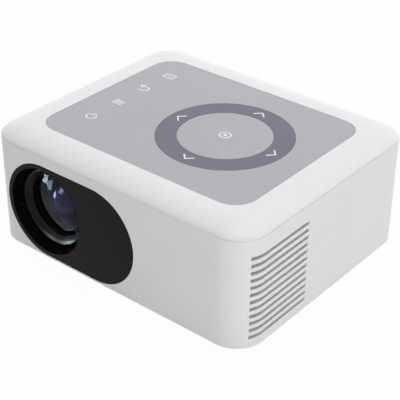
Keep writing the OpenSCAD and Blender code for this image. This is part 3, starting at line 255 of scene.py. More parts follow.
def foam(name):
    """Open-celled filter foam: grey struts, with the middle of each cell painted dark as the shade in its pore."""
    made, tree, body = shader(name, 0.95)
    place = add(tree, "TexCoord")
    cells = add(tree, "TexVoronoi", {"Scale": 900.0}, feature="DISTANCE_TO_EDGE")
    holes = add(tree, "MapRange", {"From Min": 0.02, "From Max": 0.16})
    wire(tree, (place, "Object", cells, "Vector"), (cells, "Distance", holes, "Value"))
    # Painted shade: the middle of each cell is darker, standing for the shade deep in the pores.
    tree.links.new(mix_colour(tree, holes.outputs["Result"], (92, 92, 94), (30, 30, 32)), body.inputs["Base Color"])
    bump(tree, body, holes.outputs["Result"], 0.2, 0.8)
    return made


TURNED_LINES = (900.0, 900.0, 3000.0)
FINISH = {
    "shell_white": moulded("satin_white_plastic", (238, 238, 239), (235, 235, 237), 0.38, 2600.0, 0.006,
                           Specular_IOR_Level=0.38),
    "panel_grey": moulded("panel_film_grey", (180, 179, 184), (178, 177, 182), 0.42, 3000.0, 0.004,
                          Specular_IOR_Level=0.3),
    "ring_grey": moulded("ring_film_blue_grey", (110, 111, 124), (108, 109, 122), 0.42, 3000.0, 0.004,
                         Specular_IOR_Level=0.3),
    "print_white": moulded("white_print", (240, 240, 242), (236, 236, 240), 0.5, 3000.0, 0.004),
    "bezel_black": moulded("gloss_black_plastic", (10, 10, 11), (8, 8, 9), 0.24, 900.0, 0.002,
                           Specular_IOR_Level=0.08),
    "black_plastic": moulded("matt_black_plastic", (22, 22, 23), (17, 17, 18), 0.6, worn=(58, 58, 60)),
    "grey_plastic": moulded("dark_grey_plastic", (66, 66, 69), (56, 56, 59), 0.5, worn=(96, 96, 98)),
    "tray_plastic": moulded("charcoal_tray_plastic", (50, 50, 53), (42, 42, 45), 0.5, 1500.0, 0.02, (84, 84, 86)),
    "rubber": moulded("moulded_rubber", (40, 40, 42), (30, 30, 32), 0.78, 1300.0, 0.02, dust=0.3),
    "paper_black": moulded("pressed_paper", (34, 33, 33), (24, 23, 23), 0.85, 700.0, 0.05),
    "ir_plastic": moulded("dark_red_window", (46, 12, 18), (40, 10, 15), 0.08, 400.0, 0.001),
    "component_black": moulded("chip_package", (32, 32, 34), (24, 24, 26), 0.45, 1800.0),
    "component_amber": moulded("sleeved_component", (150, 122, 60), (110, 86, 40), 0.5, 900.0),
    "aluminium": metal("extruded_aluminium", (205, 206, 209), (188, 189, 193), 0.36, worn=(232, 232, 234)),
    "sheet_steel": metal("zinc_plated_sheet", (186, 188, 192), (168, 170, 176), 0.34, (1400.0, 60.0, 1400.0),
                         worn=(222, 223, 226)),
    "steel": metal("turned_steel", (180, 181, 184), (160, 161, 165), 0.26, TURNED_LINES, worn=(226, 226, 228)),
    "brass": metal("turned_brass", (196, 158, 92), (170, 132, 70), 0.3, TURNED_LINES, worn=(226, 196, 132)),
    "mirror_glass": metal("mirror_coating", (222, 224, 228), (214, 217, 222), 0.1, depth=0.0005),
    "board_green": circuit_board("solder_mask_green"),
    "lens_glass": coated_glass("coated_lens_glass", (236, 240, 246), (226, 232, 255), 0.2),
    "filter_grey": foam("filter_foam"),
}
FINISH["lcd_glass"] = FINISH["component_black"]
FRONT_GLASS = coated_glass("front_lens_glass", (205, 210, 220), (205, 205, 240), 0.45, 1.18)
# Painted shade: the two lenses behind the front glass let no light through, and their dark violet base colour
# stands for the dark bore that clear glass would show.
INNER_LENS_PAINTED_DARK = coated_glass("inner_lens_glass", (20, 18, 32), (190, 180, 240), 0.6, clear=0.0)
BARREL_BLACK = moulded("barrel_black_finish", (13, 13, 15), (10, 10, 12), 0.3, 1500.0, 0.004,
        Specular_IOR_Level=0.12)
PHOSPHOR = moulded("lamp_phosphor_layer", (238, 206, 92), (226, 190, 74), 0.6, 1200.0)
for name, node in NODES.items():
    node.data.materials.clear()
    node.data.materials.append(FINISH[SLOT_OF[name]])


# ---------------------------------------------------------------- modelling helpers
def placed(name, data):
    """A new object in the scene."""
    made = bpy.data.objects.new(name, data)
    bpy.context.scene.collection.objects.link(made)
    return made


def mesh_of(bm, name="working"):
    mesh = bpy.data.meshes.new(name)
    bm.to_mesh(mesh)
    bm.free()
    return mesh


def joined(*parts):
    """Several meshes as one."""
    whole = bmesh.new()
    for part in parts:
        mesh = mesh_of(part)
        whole.from_mesh(mesh)
        bpy.data.meshes.remove(mesh)
    return whole


def place_piece(name, parts, beside, slot, material, sharp=SHARP, stands_for=()):
    """Makes meshes one piece on a node's body, smooth but for its sharp edges and with flat faces kept flat."""
    mesh = mesh_of(parts[0] if len(parts) == 1 else joined(*parts), name)
    made = placed(name, mesh)
    mesh.materials.append(material or FINISH[slot])
    mesh.polygons.foreach_set("use_smooth", [True] * len(mesh.polygons))
    mesh.set_sharp_from_angle(angle=math.radians(sharp))
    even = made.modifiers.new("even_shading", "WEIGHTED_NORMAL")
    even.mode, even.keep_sharp = "FACE_AREA", True
    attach(made, NODES[beside]["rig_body"])
    if stands_for:
        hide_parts(*stands_for)


def stand_in(node, *parts, material=None, sharp=SHARP, ending="_finished"):
    """A finished piece in the place of a model's node, on its body and in its slot's finish."""
    place_piece(node + ending, parts, node, SLOT_OF[node], material, sharp, (node,))


def detail(name, beside, slot, *parts, material=None):
    """A further piece that rides with a node."""
    place_piece(name, parts, beside, slot, material)


def sharp_edges(bm, degrees=SHARP):
    """Edges between two faces that turn by more than the angle."""
    return [e for e in bm.edges if len(e.link_faces) == 2 and e.calc_face_angle(0.0) > math.radians(degrees)]


def edges_at(bm, axis, place):
    """Sharp edges that lie across an axis at a place."""
    return [e for e in sharp_edges(bm) if all(abs(v.co[axis] - place) < 0.01 * MM for v in e.verts)]


def bevel(bm, geom, width, segments=2, affect="EDGES", clamp=True):
    bmesh.ops.bevel(bm, geom=geom, offset=width, offset_type="OFFSET", segments=segments, profile=0.5,
            affect=affect, material=-1, clamp_overlap=clamp)


def ease(bm, width, segments=2):
    """Rounds every sharp edge over."""
    bevel(bm, sharp_edges(bm), width, segments)
    return bm


def flatten(bm):
    """Makes one face of faces in one plane."""
    bmesh.ops.dissolve_limit(bm, angle_limit=math.radians(0.5), verts=bm.verts, edges=bm.edges)


def mm(*sizes):
    """A place or a distance given in millimetres."""
    return Vector([s * MM for s in sizes])


def moved(bm, vec):
    bmesh.ops.translate(bm, vec=vec, verts=bm.verts)
    return bm


def spun(bm, degrees, axis="Z"):
    """Turns a mesh about an axis through the origin."""
    bmesh.ops.rotate(bm, cent=(0, 0, 0), matrix=Matrix.Rotation(math.radians(degrees), 3, axis), verts=bm.verts)
    return bm


def outwards(degrees, axis="Z"):
    """The direction at an angle round an axis."""
    return Matrix.Rotation(math.radians(degrees), 3, axis) @ Vector(ALONG_X)


def node_copy(node):
    """A merged copy of a model's node, with its flat faces whole."""
    bm = bmesh.new()
    bm.from_mesh(NODES[node].data)
    bmesh.ops.remove_doubles(bm, verts=bm.verts, dist=MERGE)
    flatten(bm)
    return bm


def turned(profile, centre=(0, 0, 0), axis=UP, steps=64):
    """A closed profile of (radius, distance along the axis) pairs in millimetres, spun a full turn."""
    bm = bmesh.new()
    axis, centre = Vector(axis), Vector(centre)
    side = axis.orthogonal().normalized()
    points = [bm.verts.new(centre + side * (r * MM) + axis * (d * MM)) for r, d in profile]
    rim = [bm.edges.new(pair) for pair in zip(points, points[1:] + points[:1])]
    bmesh.ops.spin(bm, geom=points + rim, cent=centre, axis=axis, angle=2 * math.pi, steps=steps,
            use_merge=True, use_duplicate=False)
    bmesh.ops.remove_doubles(bm, verts=bm.verts, dist=MERGE)
    bmesh.ops.dissolve_degenerate(bm, edges=bm.edges, dist=0.0005 * MM)
    bmesh.ops.delete(bm, geom=[e for e in bm.edges if not e.link_faces], context="EDGES")
    bmesh.ops.recalc_face_normals(bm, faces=bm.faces)
    return bm


def plug(radius, first, last, centre=(0, 0, 0), steps=64):
    """An upright round solid between two heights in millimetres."""
    return turned([(0, first), (radius, first), (radius, last), (0, last)], centre, steps=steps)


def block(low, high, width=0.0, segments=2):
    """A box between two corners, its edges eased by a width if asked."""
    bm = bmesh.new()
    made = bmesh.ops.create_cube(bm, size=1.0)["verts"]
    low, high = Vector(low), Vector(high)
    bmesh.ops.scale(bm, vec=high - low, verts=made)
    bmesh.ops.translate(bm, vec=(low + high) / 2, verts=made)
    return ease(bm, width, segments) if width else bm


def block_mm(low, high, width=0.0):
    return block(Vector(low) * MM, Vector(high) * MM, width * MM)


def rod(start, end, radius, segments=32, width=0.0):
    """A round bar between two points, its end edges eased by a width if asked."""
    start, end = Vector(start), Vector(end)
    bm = bmesh.new()
    bmesh.ops.create_cone(bm, cap_ends=True, segments=segments, radius1=radius, radius2=radius,
            depth=(end - start).length)
    turn = (end - start).to_track_quat("Z", "Y").to_matrix().to_4x4()
    bmesh.ops.transform(bm, matrix=Matrix.Translation((start + end) / 2) @ turn, verts=bm.verts)
    return ease(bm, width) if width else bm


def raise_faces(bm, faces, height):
    """Makes flat faces a solid of a height."""
    out = bmesh.ops.extrude_face_region(bm, geom=faces)["geom"]
    bmesh.ops.translate(bm, vec=(0, 0, height), verts=[v for v in out if isinstance(v, bmesh.types.BMVert)])
    bmesh.ops.recalc_face_normals(bm, faces=bm.faces)
    return bm


def thread(start, axis, radius, depth, pitch, length, steps=20):
    """A helical ridge on a round bar, or with a negative depth inside a round hole."""
    bm = bmesh.new()
    start, axis = Vector(start), Vector(axis)
    side = axis.orthogonal().normalized()
    root, half = radius - math.copysign(0.05 * MM, depth), 0.42 * pitch
    crest = radius + depth
    section = [bm.verts.new(start + side * r + axis * (half + d))
            for r, d in ((root, -half), (crest, -0.1 * pitch), (crest, 0.1 * pitch), (root, half))]
    count = int((length - 2 * half) / pitch * steps)
    bmesh.ops.spin(bm, geom=[bm.faces.new(section)], cent=start, axis=axis, dvec=axis * (pitch / steps),
            angle=2 * math.pi * count / steps, steps=count, use_merge=False, use_duplicate=False)
    bmesh.ops.recalc_face_normals(bm, faces=bm.faces)
    return bm


def carve(body, cutter, operation="DIFFERENCE"):
    """The body without the cutter's space, or with it."""
    pair = [placed("carving", mesh_of(bm)) for bm in (body, cutter)]
    cut = pair[0].modifiers.new("cut", "BOOLEAN")
    cut.operation, cut.solver, cut.object = operation, "EXACT", pair[1]
    result = bpy.data.meshes.new_from_object(pair[0].evaluated_get(bpy.context.evaluated_depsgraph_get()))
    bm = bmesh.new()
    bm.from_mesh(result)
    for o in pair:
        bpy.data.objects.remove(o)
    bpy.data.meshes.remove(result)
    return bm


def solids_of(node):
    """The box of each separate solid in a model's node, from left to right."""
    bm = bmesh.new()
    bm.from_mesh(NODES[node].data)
    bmesh.ops.remove_doubles(bm, verts=bm.verts, dist=MERGE)
    left, boxes = set(bm.verts), []
    while left:
        todo, group = [left.pop()], []
        while todo:
            vert = todo.pop()
            group.append(vert.co.copy())
            near = [e.other_vert(vert) for e in vert.link_edges]
            todo += [v for v in near if v in left]
            left.difference_update(near)
        boxes.append((Vector(map(min, zip(*group))), Vector(map(max, zip(*group)))))
    bm.free()
    return sorted(boxes, key=lambda b: (round(b[0].x, 4), round(b[0].y, 4)))


def upright(low, high):
    """The middle of a box's underside, and its radius and height in millimetres."""
    mid = (low + high) / 2
    return Vector((mid.x, mid.y, low.z)), (high.x - low.x) / 2 / MM, (high.z - low.z) / MM


def lying(low, high):
    """A box's middle with y at 0, and its radius and two ends along y in millimetres."""
    mid = (low + high) / 2
    return Vector((mid.x, 0, mid.z)), (high.x - low.x) / 2 / MM, low.y / MM, high.y / MM


def cap(radius, height, top):
    """Points of a round cap from its middle to its rim."""
    return [(radius * math.sin(math.radians(a)), top - height * (1 - math.cos(math.radians(a))))
            for a in range(0, 91, 15)]


# ---------------------------------------------------------------- camera, light and floor
def photo_camera():
    """The photograph's view: where its camera stood, how it was turned, and its focal length."""
    place = Vector((0.45223, -0.55352, 0.47164))
    heading, tilt, roll = (math.radians(a) for a in (39.218, 31.633, 0.5125))
    focal, picture = 1140.33, 400      # both in the picture's pixels
    ahead = Vector((-math.sin(heading) * math.cos(tilt), math.cos(heading) * math.cos(tilt), -math.sin(tilt)))
    level = Vector((math.cos(heading), math.sin(heading), 0.0))
    upwards = level.cross(ahead)
    right = level * math.cos(roll) + upwards * math.sin(roll)
    up = upwards * math.cos(roll) - level * math.sin(roll)
    lens = bpy.data.cameras.new("camera")
    lens.sensor_width = 36.0
    lens.lens = focal / picture * lens.sensor_width
    lens.clip_start, lens.clip_end = 0.01, 50.0
    made = placed("camera", lens)
    made.matrix_world = Matrix.Translation(place) @ Matrix((right, up, -ahead)).transposed().to_4x4()
    bpy.context.scene.camera = made


def softbox(name, place, size, power, aim=(0.0, 0.0, 0.05), colour=(1.0, 1.0, 1.0)):
    lamp = bpy.data.lights.new(name, "AREA")
    lamp.shape = "RECTANGLE"
    lamp.size, lamp.size_y = size
    lamp.energy, lamp.color = power, colour
    made = placed(name, lamp)
    made.location = place
    made.rotation_euler = (Vector(aim) - Vector(place)).to_track_quat("-Z", "Y").to_euler()
    return made


def view_paths(tree):
    """1 for what the camera, a reflection or glass sees, and 0 for light that falls on things."""
    path = add(tree, "LightPath")
    first, both = (add(tree, "Math", operation="MAXIMUM") for _ in range(2))
    wire(tree, (path, "Is Camera Ray", first, 0), (path, "Is Glossy Ray", first, 1), (first, "Value", both, 0),
            (path, "Is Transmission Ray", both, 1))
    return both


def studio(ambient):
    """White surroundings to look at, a plain soft level to be lit by."""
    world = bpy.data.worlds.new("studio")
    bpy.context.scene.world = world
    world.use_nodes = True
    tree = world.node_tree
    seen, lit = tree.nodes["Background"], add(tree, "Background", {"Strength": ambient})
    seen.inputs["Strength"].default_value = 1.0
    seen.inputs["Color"].default_value = (1, 1, 1, 1)
    mix = add(tree, "MixShader")
    wire(tree, (view_paths(tree), "Value", mix, 0), (lit, 0, mix, 1), (seen, 0, mix, 2),
            (mix, 0, tree.nodes["World Output"], "Surface"))


def floor(lift):
    """A plain pale floor: mostly as bright as the background, with a faint shadow left on it."""
    bm = bmesh.new()
    bmesh.ops.create_grid(bm, x_segments=8, y_segments=8, size=4.0)
    made = placed("floor", mesh_of(bm, "floor"))
    paper, tree, body = shader("pale_floor", 0.9, Base_Color=(0.82, 0.82, 0.82, 1.0))
    glow = add(tree, "Emission", {"Color": (1, 1, 1, 1), "Strength": 1.0})
    share, mix = add(tree, "Math", {1: lift}, operation="MULTIPLY"), add(tree, "MixShader")
    wire(tree, (view_paths(tree), "Value", share, 0), (share, "Value", mix, 0), (body, 0, mix, 1),
            (glow, 0, mix, 2),
            (mix, 0, tree.nodes["Material Output"], "Surface"))
    made.data.materials.append(paper)


photo_camera()
bpy.context.scene.view_settings.view_transform = "Standard"
studio(ambient=0.08)
floor(lift=0.97)
LOW_LAMPS = ("corner_box", "left_box", "rear_box")     # seen in the flat panel they would turn it white
for name, place, size, power in (("overhead_box", (0.0, 0.0, 1.4), (1.4, 1.4), 12.1),
        ("rear_overhead_box", (-0.3, 0.7, 1.2), (1.0, 1.0), 2.5),
        ("right_box", (1.35, 0.25, 0.45), (0.8, 0.8), 2.0),
        ("corner_box", (1.05, -1.0, 0.35), (0.25, 0.25), 6.9),
        ("left_box", (-1.35, 0.35, 0.4), (0.9, 0.7), 8.0),
        ("rear_box", (0.1, 1.4, 0.45), (1.2, 0.8), 9.0)):
    lamp = softbox(name, place, size, power)
    lamp.visible_glossy = name not in LOW_LAMPS
    lamp.visible_transmission = name != "corner_box"   # it makes sparks in the lens


# ---------------------------------------------------------------- lens
LENS, GLASS_R, GLASS_APEX, GLASS_BACK = lying(*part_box("front_element"))
_, HOOD_R, HOOD_FRONT, BARREL_BACK = lying(*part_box("lens_barrel"))
GLASS_EDGE = 3.0                       # thickness of the glass at its rim
CLEAR_R = GLASS_R - 2.5                # radius of the glass inside its retainer
TUBE_R, BORE_R = 23.0, 20.6            # outside and inside of the rear tube
WELL_MOUTH_R, WELL_FLOOR_R = 33.4, 31.0
SEAT_R = 18.4                          # opening of the seat in front of the second lens
BALL_R = 17.9                          # radius of the second lens where its domed face begins
PIN_TIP_R, PIN_R = 27.3, 1.2           # the cam pins


def on_lens(profile, steps=96):
    return turned(profile, LENS, ALONG_Y, steps)


def dome(radius, bulge, rim_y, steps=16):
    """Points of a shallow dome from its middle to its rim, bulging towards the front."""
    ball = (radius * radius + bulge * bulge) / (2 * bulge)
    reach = math.asin(radius / ball)
    return [(ball * math.sin(reach * i / steps), rim_y - bulge + ball * (1 - math.cos(reach * i / steps)))
            for i in range(steps + 1)]


def lens_bezel():
    """The black front plate: eased round its face and its well, with two fine rings in the well's wall."""
    front, back = (corner.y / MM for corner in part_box("lens_bezel"))
    rings = []
    for share in (0.34, 0.62):
        y = front + (back - front) * share
        wall = WELL_MOUTH_R + (WELL_FLOOR_R - WELL_MOUTH_R) * share
        rings.append(on_lens([(wall - 0.4, y - 0.1), (wall + 0.45, y + 0.15), (wall + 0.45, y + 0.5),
                (wall - 0.4, y + 0.75)]))
    bm = carve(node_copy("lens_bezel"), joined(*rings))
    flatten(bm)
    bevel(bm, edges_at(bm, 1, front * MM), 0.45 * MM, 3)
    stand_in("lens_bezel", bm)


def lens_barrel():
    """The hood with its funnel lip, the rear tube with its ridged bore, and the three cam pins."""
    hood, glass, back = HOOD_FRONT, GLASS_BACK, BARREL_BACK
    ridges = []
    for i in range(9):
        ridges += [(BORE_R, glass + 0.5 + i * 0.8), (BORE_R + 0.5, glass + 0.9 + i * 0.8)]
    profile = [
        (GLASS_R + 0.1, hood + 1.3), (HOOD_R - 1.1, hood + 0.15), (HOOD_R - 0.8, hood), (HOOD_R - 0.35, hood + 0.1),
        (HOOD_R, hood + 0.5), (HOOD_R, hood + 3.2), (HOOD_R - 0.35, hood + 3.5), (HOOD_R - 0.35, hood + 4.0),
        (HOOD_R, hood + 4.3), (HOOD_R, glass + 0.8), (HOOD_R - 0.4, glass + 1.2), (TUBE_R, glass + 1.2),
        (TUBE_R, back - 0.4), (TUBE_R - 0.4, back), (BORE_R - 2, back), (BORE_R - 2, back - 1.2),
        (BORE_R, back - 1.2), (BORE_R, glass + 9.0), (SEAT_R, glass + 8.6), (SEAT_R, glass + 8.2),
        (BORE_R, glass + 7.7), *ridges[::-1], (BORE_R, glass), (GLASS_R + 0.1, glass)]
    cam_low, cam_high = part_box("focus_ring")
    foot = LENS + Vector((0, (cam_low.y + cam_high.y) / 2, 0))
    pins = []
    for angle in (90, 210, 330):
        out = outwards(angle, "Y") * MM
        pins.append(rod(foot + out * (TUBE_R - 1), foot + out * PIN_TIP_R, PIN_R * MM, 24, 0.15 * MM))
    stand_in("lens_barrel", on_lens(profile), *pins, material=BARREL_BLACK)


def lens_retainer():
    """The ring that holds the front glass, sloped towards it."""
    rear = GLASS_APEX + GLASS_EDGE + 1.3
    stand_in("lens_retainer", on_lens([(CLEAR_R + 0.1, rear - 0.35), (CLEAR_R + 0.35, rear - 1.1),
            (GLASS_R, rear - 3.35), (GLASS_R, rear), (CLEAR_R + 0.4, rear)]),
            material=BARREL_BLACK)


def lens_glass():
    """The domed front glass and the two lenses behind it, these two opaque and painted dark as the shade of the
    bore behind them.
    """
    rim_y = GLASS_BACK - GLASS_EDGE
    front = dome(CLEAR_R, rim_y - GLASS_APEX, rim_y) + [(GLASS_R - 0.2, rim_y), (GLASS_R, rim_y + 0.2),
            (GLASS_R, GLASS_BACK)]
    hollow = dome(BORE_R - 0.4, 4.4, GLASS_BACK, 20)[::-1]
    stand_in("front_element", on_lens(front + hollow, 128), material=FRONT_GLASS)
    _, radius, first, last = lying(*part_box("inner_elements"))
    lenses = []
    for y0, front_bulge, back_bulge in ((first, 12.4, 5.0), (last - 5.0, 1.2, 1.5)):
        face = dome(BALL_R, front_bulge, y0 + 0.6, 24) + [(radius, y0 + 0.6)]
        back = [(r, 2 * y0 + 4.0 - y) for r, y in dome(BALL_R, back_bulge, y0)[::-1]]
        lenses.append(on_lens(face + [(radius, y0 + 4.0)] + back, 128))
    stand_in("inner_elements", *lenses, material=INNER_LENS_PAINTED_DARK)


def lens_highlights():
    """Two small lamps that only the glass and its mount reflect."""
    mount = bpy.data.collections.new("lens_receivers")
    for node in ("front_element", "inner_elements", "lens_barrel", "lens_retainer"):
        mount.objects.link(bpy.data.objects[node + "_finished"])
    aim = (-0.05, -0.09, 0.04)
    for lamp in (softbox("lens_box", (-0.75, -1.2, 0.65), (0.5, 0.5), 12.0, aim),
            softbox("low_card", (-0.245, -0.17, 0.035), (0.1, 0.06), 0.45, aim, (0.8, 1.0, 1.0))):
        lamp.light_linking.receiver_collection = mount
        lamp.visible_camera = lamp.visible_diffuse = False


# ---------------------------------------------------------------- housing, screws, feet and tripod thread
SHELL_LOW, SHELL_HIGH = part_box("main_shell")
CORNER_R = 21.6 * MM                   # the body's upright corners


def on_body_side(point, slack=0.02 * MM):
    """True for a point on the outer side face of the body."""
    flat = (SHELL_HIGH - SHELL_LOW) / 2 - Vector((CORNER_R, CORNER_R, 0))
    out = Vector((max(abs(point.x) - flat.x, 0), max(abs(point.y) - flat.y, 0)))
    return abs(max(out.x, out.y) - CORNER_R) < slack or abs(out.length - CORNER_R) < 2 * slack


def main_shell():
    """The side walls, with the rim of each opening and vent rounded over."""
    bm = node_copy("main_shell")
    bevel(bm, [e for e in sharp_edges(bm, 50) if all(on_body_side(v.co) for v in e.verts)], 0.22 * MM, clamp=False)
    stand_in("main_shell", bm)


def screws():
    """Pan-headed screws with a cross recess, driven upwards."""
    head_h, shank_r, ridge_h = 1.4, 1.05, 0.25
    slot, reach, depth = 0.35 * MM, 1.45 * MM, 0.9 * MM
    made = []
    for at, head_r, length in (upright(*box) for box in solids_of("screws")):
        body = turned([(0, 0), (head_r * 0.72, 0), (head_r * 0.93, 0.18), (head_r, 0.55), (head_r, head_h),
                (shank_r, head_h), (shank_r, length - 0.9), (0.3, length), (0, length)], at, steps=32)
        cross = [block(at - Vector((x, y, 0.2 * MM)), at + Vector((x, y, depth)))
                for x, y in ((slot, reach), (reach, slot))]
        made += [carve(body, carve(*cross, "UNION")),
                thread(at + mm(0, 0, head_h + 0.3), UP, shank_r * MM, ridge_h * MM, 1.0 * MM,
                (length - head_h - 1.6) * MM, 16)]
    stand_in("screws", *made)


def rubber_feet():
    """Round feet with two raised rings to stand on."""
    stand_in("rubber_feet", *(
        turned([(0, 0.7), (1.6, 0.7), (2.0, 0.15), (2.3, 0), (3.0, 0), (3.3, 0.15), (3.7, 0.7), (4.6, 0.7),
            (5.0, 0.15), (5.3, 0), (6.2, 0), (6.9, 0.25), (7.6, 1.0), (r, 2.0), (r, top), (0, top)], at)
        for at, r, top in (upright(*box) for box in solids_of("rubber_feet"))))


def front_foot():
    """The foot that screws in and out: a ribbed pad, a knurled collar and a threaded stem."""
    at, r, h = upright(*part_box("foot_pad"))
    stand_in("foot_pad", turned([(0, 0.3), (1.8, 0.3), (2.1, 0), (3.2, 0), (3.5, 0.3), (4.4, 0.3), (4.7, 0),
            (6.2, 0), (r, 0.5), (r, h), (0, h)], at))
    at, collar_r, length = upright(*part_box("foot_screw"))
    collar_h = SHELL_LOW.z / MM - 0.2 - at.z / MM
    collar = bmesh.new()
    bmesh.ops.create_cone(collar, cap_ends=True, segments=144, radius1=collar_r * MM, radius2=collar_r * MM,
            depth=collar_h * MM)
    moved(collar, at + mm(0, 0, collar_h / 2))
    for vert in collar.verts:
        turn = math.atan2(vert.co.y - at.y, vert.co.x - at.x)
        if round(turn / math.radians(2.5)) % 4 in (0, 1):
            vert.co.xy = at.xy + (vert.co.xy - at.xy) * 0.955
    bevel(collar, edges_at(collar, 2, at.z) + edges_at(collar, 2, at.z + collar_h * MM), 0.2 * MM, 1)
    stem_r = 3.55
    stem = turned([(0, collar_h - 0.1), (stem_r, collar_h - 0.1), (stem_r, length - 0.8), (stem_r - 0.8, length),
            (0, length)], at, steps=40)
    ridge = thread(at + mm(0, 0, collar_h + 0.3), UP, stem_r * MM, 0.42 * MM, 1.25 * MM,
            (length - collar_h - 1.4) * MM, 24)
    stand_in("foot_screw", collar, stem, ridge)


def tripod_insert():
    """A brass insert: grooved outside, with a thread inside."""
    at, r, length = upright(*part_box("tripod_insert"))
    bore = 3.275
    sleeve = turned([(bore + 0.35, 0), (r - 0.15, 0), (r, 0.2), (r, 3.4), (r - 0.35, 3.7), (r - 0.35, 4.6),
            (r, 4.9), (r, length - 0.3), (r - 0.3, length), (bore + 0.35, length), (bore, length - 0.4),
            (bore, 0.4)], at)
    ridge = thread(at + mm(0, 0, 0.5), UP, bore * MM, -0.5 * MM, 1.27 * MM, (length - 1.0) * MM, 24)
    stand_in("tripod_insert", sleeve, ridge)


# ---------------------------------------------------------------- fans
HUB_SHARE = 0.24                       # a fan's hub radius over its size
SEAT_T = 2.0                           # thickness of the struts and the motor's seat
BLADES = 7


def fan_box(node):
    """The low corner and the middle of a fan piece's box, and its size and depth."""
    low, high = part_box(node)
    return low, (low + high) / 2, high.y - low.y, high.x - low.x


def face_right(bm, x0, at):
    """Turns a fan piece, made facing up, to the right and puts it in its place."""
    return moved(spun(bm, 90, "Y"), (x0, at.y, at.z))


def fan_frame(node):
    """A square frame with flanged corners, a flared duct, four struts and a motor seat."""
    low, mid, size, deep = fan_box(node)
    d, r, hub_r, corner = deep / MM, size / 2 / MM - 1.5, size * HUB_SHARE / MM, size / 2 - 5 * MM
    bm = bmesh.new()
    bevel(bm, bmesh.ops.create_grid(bm, x_segments=1, y_segments=1, size=size / 2)["verts"], 3 * MM, 10,
            "VERTICES", False)
    raise_faces(bm, bm.faces[:], deep)
    waist = carve(block((-size, -size, 2.6 * MM), (size, size, deep - 2.6 * MM)),
            plug(r + 1.45, -1, d + 1, steps=96))
    duct = turned([(0, -1), (r + 0.9, -1), (r + 0.9, 0), (r + 0.3, 0.9), (r, 2.2), (r, d - 2.2),
            (r + 0.3, d - 0.9), (r + 0.9, d), (r + 0.9, d + 1), (0, d + 1)], steps=96)
    holes = joined(*(rod((x, y, -MM), (x, y, deep + MM), 1.8 * MM, 24)
            for x in (-corner, corner) for y in (-corner, corner)))
    for cutter in (waist, duct, holes):
        bm = carve(bm, cutter)
    seat = turned([(0, 0), (hub_r - 0.4, 0), (hub_r, 0.3), (hub_r, SEAT_T), (hub_r - 1.6, SEAT_T),
            (hub_r - 1.6, d - 4.2), (3.2, d - 4.2), (3.2, d - 2.9), (1.2, d - 2.9), (1.2, 1.0), (0, 1.0)])
    struts = [spun(block(mm(hub_r - 0.6, -1.1, 0), mm(r + 0.85, 1.1, SEAT_T), 0.25 * MM, 1),
            45 + 90 * i) for i in range(4)]
    stand_in(node, face_right(joined(bm, seat, *struts), low.x, mid))


def fan_blade(hub_r, tip_r, deep):
    """One swept, cambered blade."""
    blade = bmesh.new()
    bmesh.ops.create_grid(blade, x_segments=8, y_segments=6, size=0.5)
    for vert in blade.verts:
        along, out = vert.co.x, vert.co.y + 0.5
        radius = hub_r - 0.4 * MM + (tip_r - hub_r + 0.4 * MM) * out
        turn = math.radians(46 - 8 * out) * along + math.radians(14) * out * out
        camber = 0.9 * MM * (1 - 4 * along * along)
        rise = deep / 2 + along * (deep - 2.6 * MM) * (1 - 0.15 * out) + camber
        vert.co = Vector((radius * math.cos(turn), radius * math.sin(turn), rise))
    bmesh.ops.recalc_face_normals(blade, faces=blade.faces)
    bmesh.ops.solidify(blade, geom=blade.faces[:], thickness=0.8 * MM)
    bmesh.ops.recalc_face_normals(blade, faces=blade.faces)
    return blade


def fan_rotor(node):
    """A cupped hub on a shaft, with its blades."""
    low, _, _, deep = fan_box(node)
    _, mid, size, _ = fan_box(node.replace("rotor", "frame"))
    r, d = size * HUB_SHARE / MM, deep / MM
    hub = turned([(0, 0.6), (0.9, 0.6), (1.0, 0.8), (1.0, d - 1.4), (r - 0.9, d - 1.4), (r - 0.9, 0), (r, 0),
            (r, d - 1.1), (r - 0.3, d - 0.45), (r - 1.1, d), (3.4, d), (3.0, d - 0.35), (0, d - 0.35)])
    blades = [spun(fan_blade(size * HUB_SHARE, size / 2 - 2.4 * MM, deep), 360 * i / BLADES) for i in range(BLADES)]
    stand_in(node, face_right(joined(hub, *blades), low.x, mid))


# ---------------------------------------------------------------- speakers
def speakers():
    """Baskets with magnets, and paper cones with rolled surrounds and dust caps."""
    cones, baskets = [], []
    for box, cone_box in zip(solids_of("speaker_frames"), solids_of("speaker_cones")):
        at, r, back, front = lying(*box)
        _, _, y0, y1 = lying(*cone_box)
        ledge, rim = y1 - 2.3, r - 2.6
        basket = turned([(0, back), (9, back), (9.3, back + 0.3), (9.3, back + 4.9), (r - 3, back + 5.1),
                (r - 1, back + 6), (r - 1, front - 2), (r, front - 2), (r, front - 0.3), (r - 0.3, front),
                (r - 2.2, front), (r - 2.5, front - 0.3), (r - 2.5, ledge), (r - 3.6, ledge),
                (r - 3.6, ledge - 0.8), (r - 2.5, ledge - 1.2), (r - 2.5, back + 6.1), (0, back + 6.1)],
                at, ALONG_Y)
        windows = (moved(spun(block(mm(9.8, back + 4.6, -4.2), mm(r + 2, ledge - 1.6, 4.2)), 90 * i + 45, "Y"), at)
                for i in range(4))
        baskets.append(carve(basket, joined(*windows)))
        roll = [(rim - 2.3 + 1.7 * math.cos(math.radians(a)), y1 - 1.7 + 1.6 * math.sin(math.radians(a)))
                for a in range(180, -1, -20)]
        cones.append(turned([*cap(5.4, 2.2, y1 - 4.6), (5.6, y1 - 6.9), (8.5, y1 - 5.0), *roll, (rim, y1 - 1.7),
                (rim, y1 - 2.3), (rim - 4.2, y1 - 2.4), (8.5, y1 - 5.7), (5.9, y1 - 7.7), (5.6, y0),
                (5.0, y0), (5.0, y1 - 7.4), (0, y1 - 7.4)], at, ALONG_Y))
    stand_in("speaker_frames", *baskets)
    stand_in("speaker_cones", *cones, sharp=50)


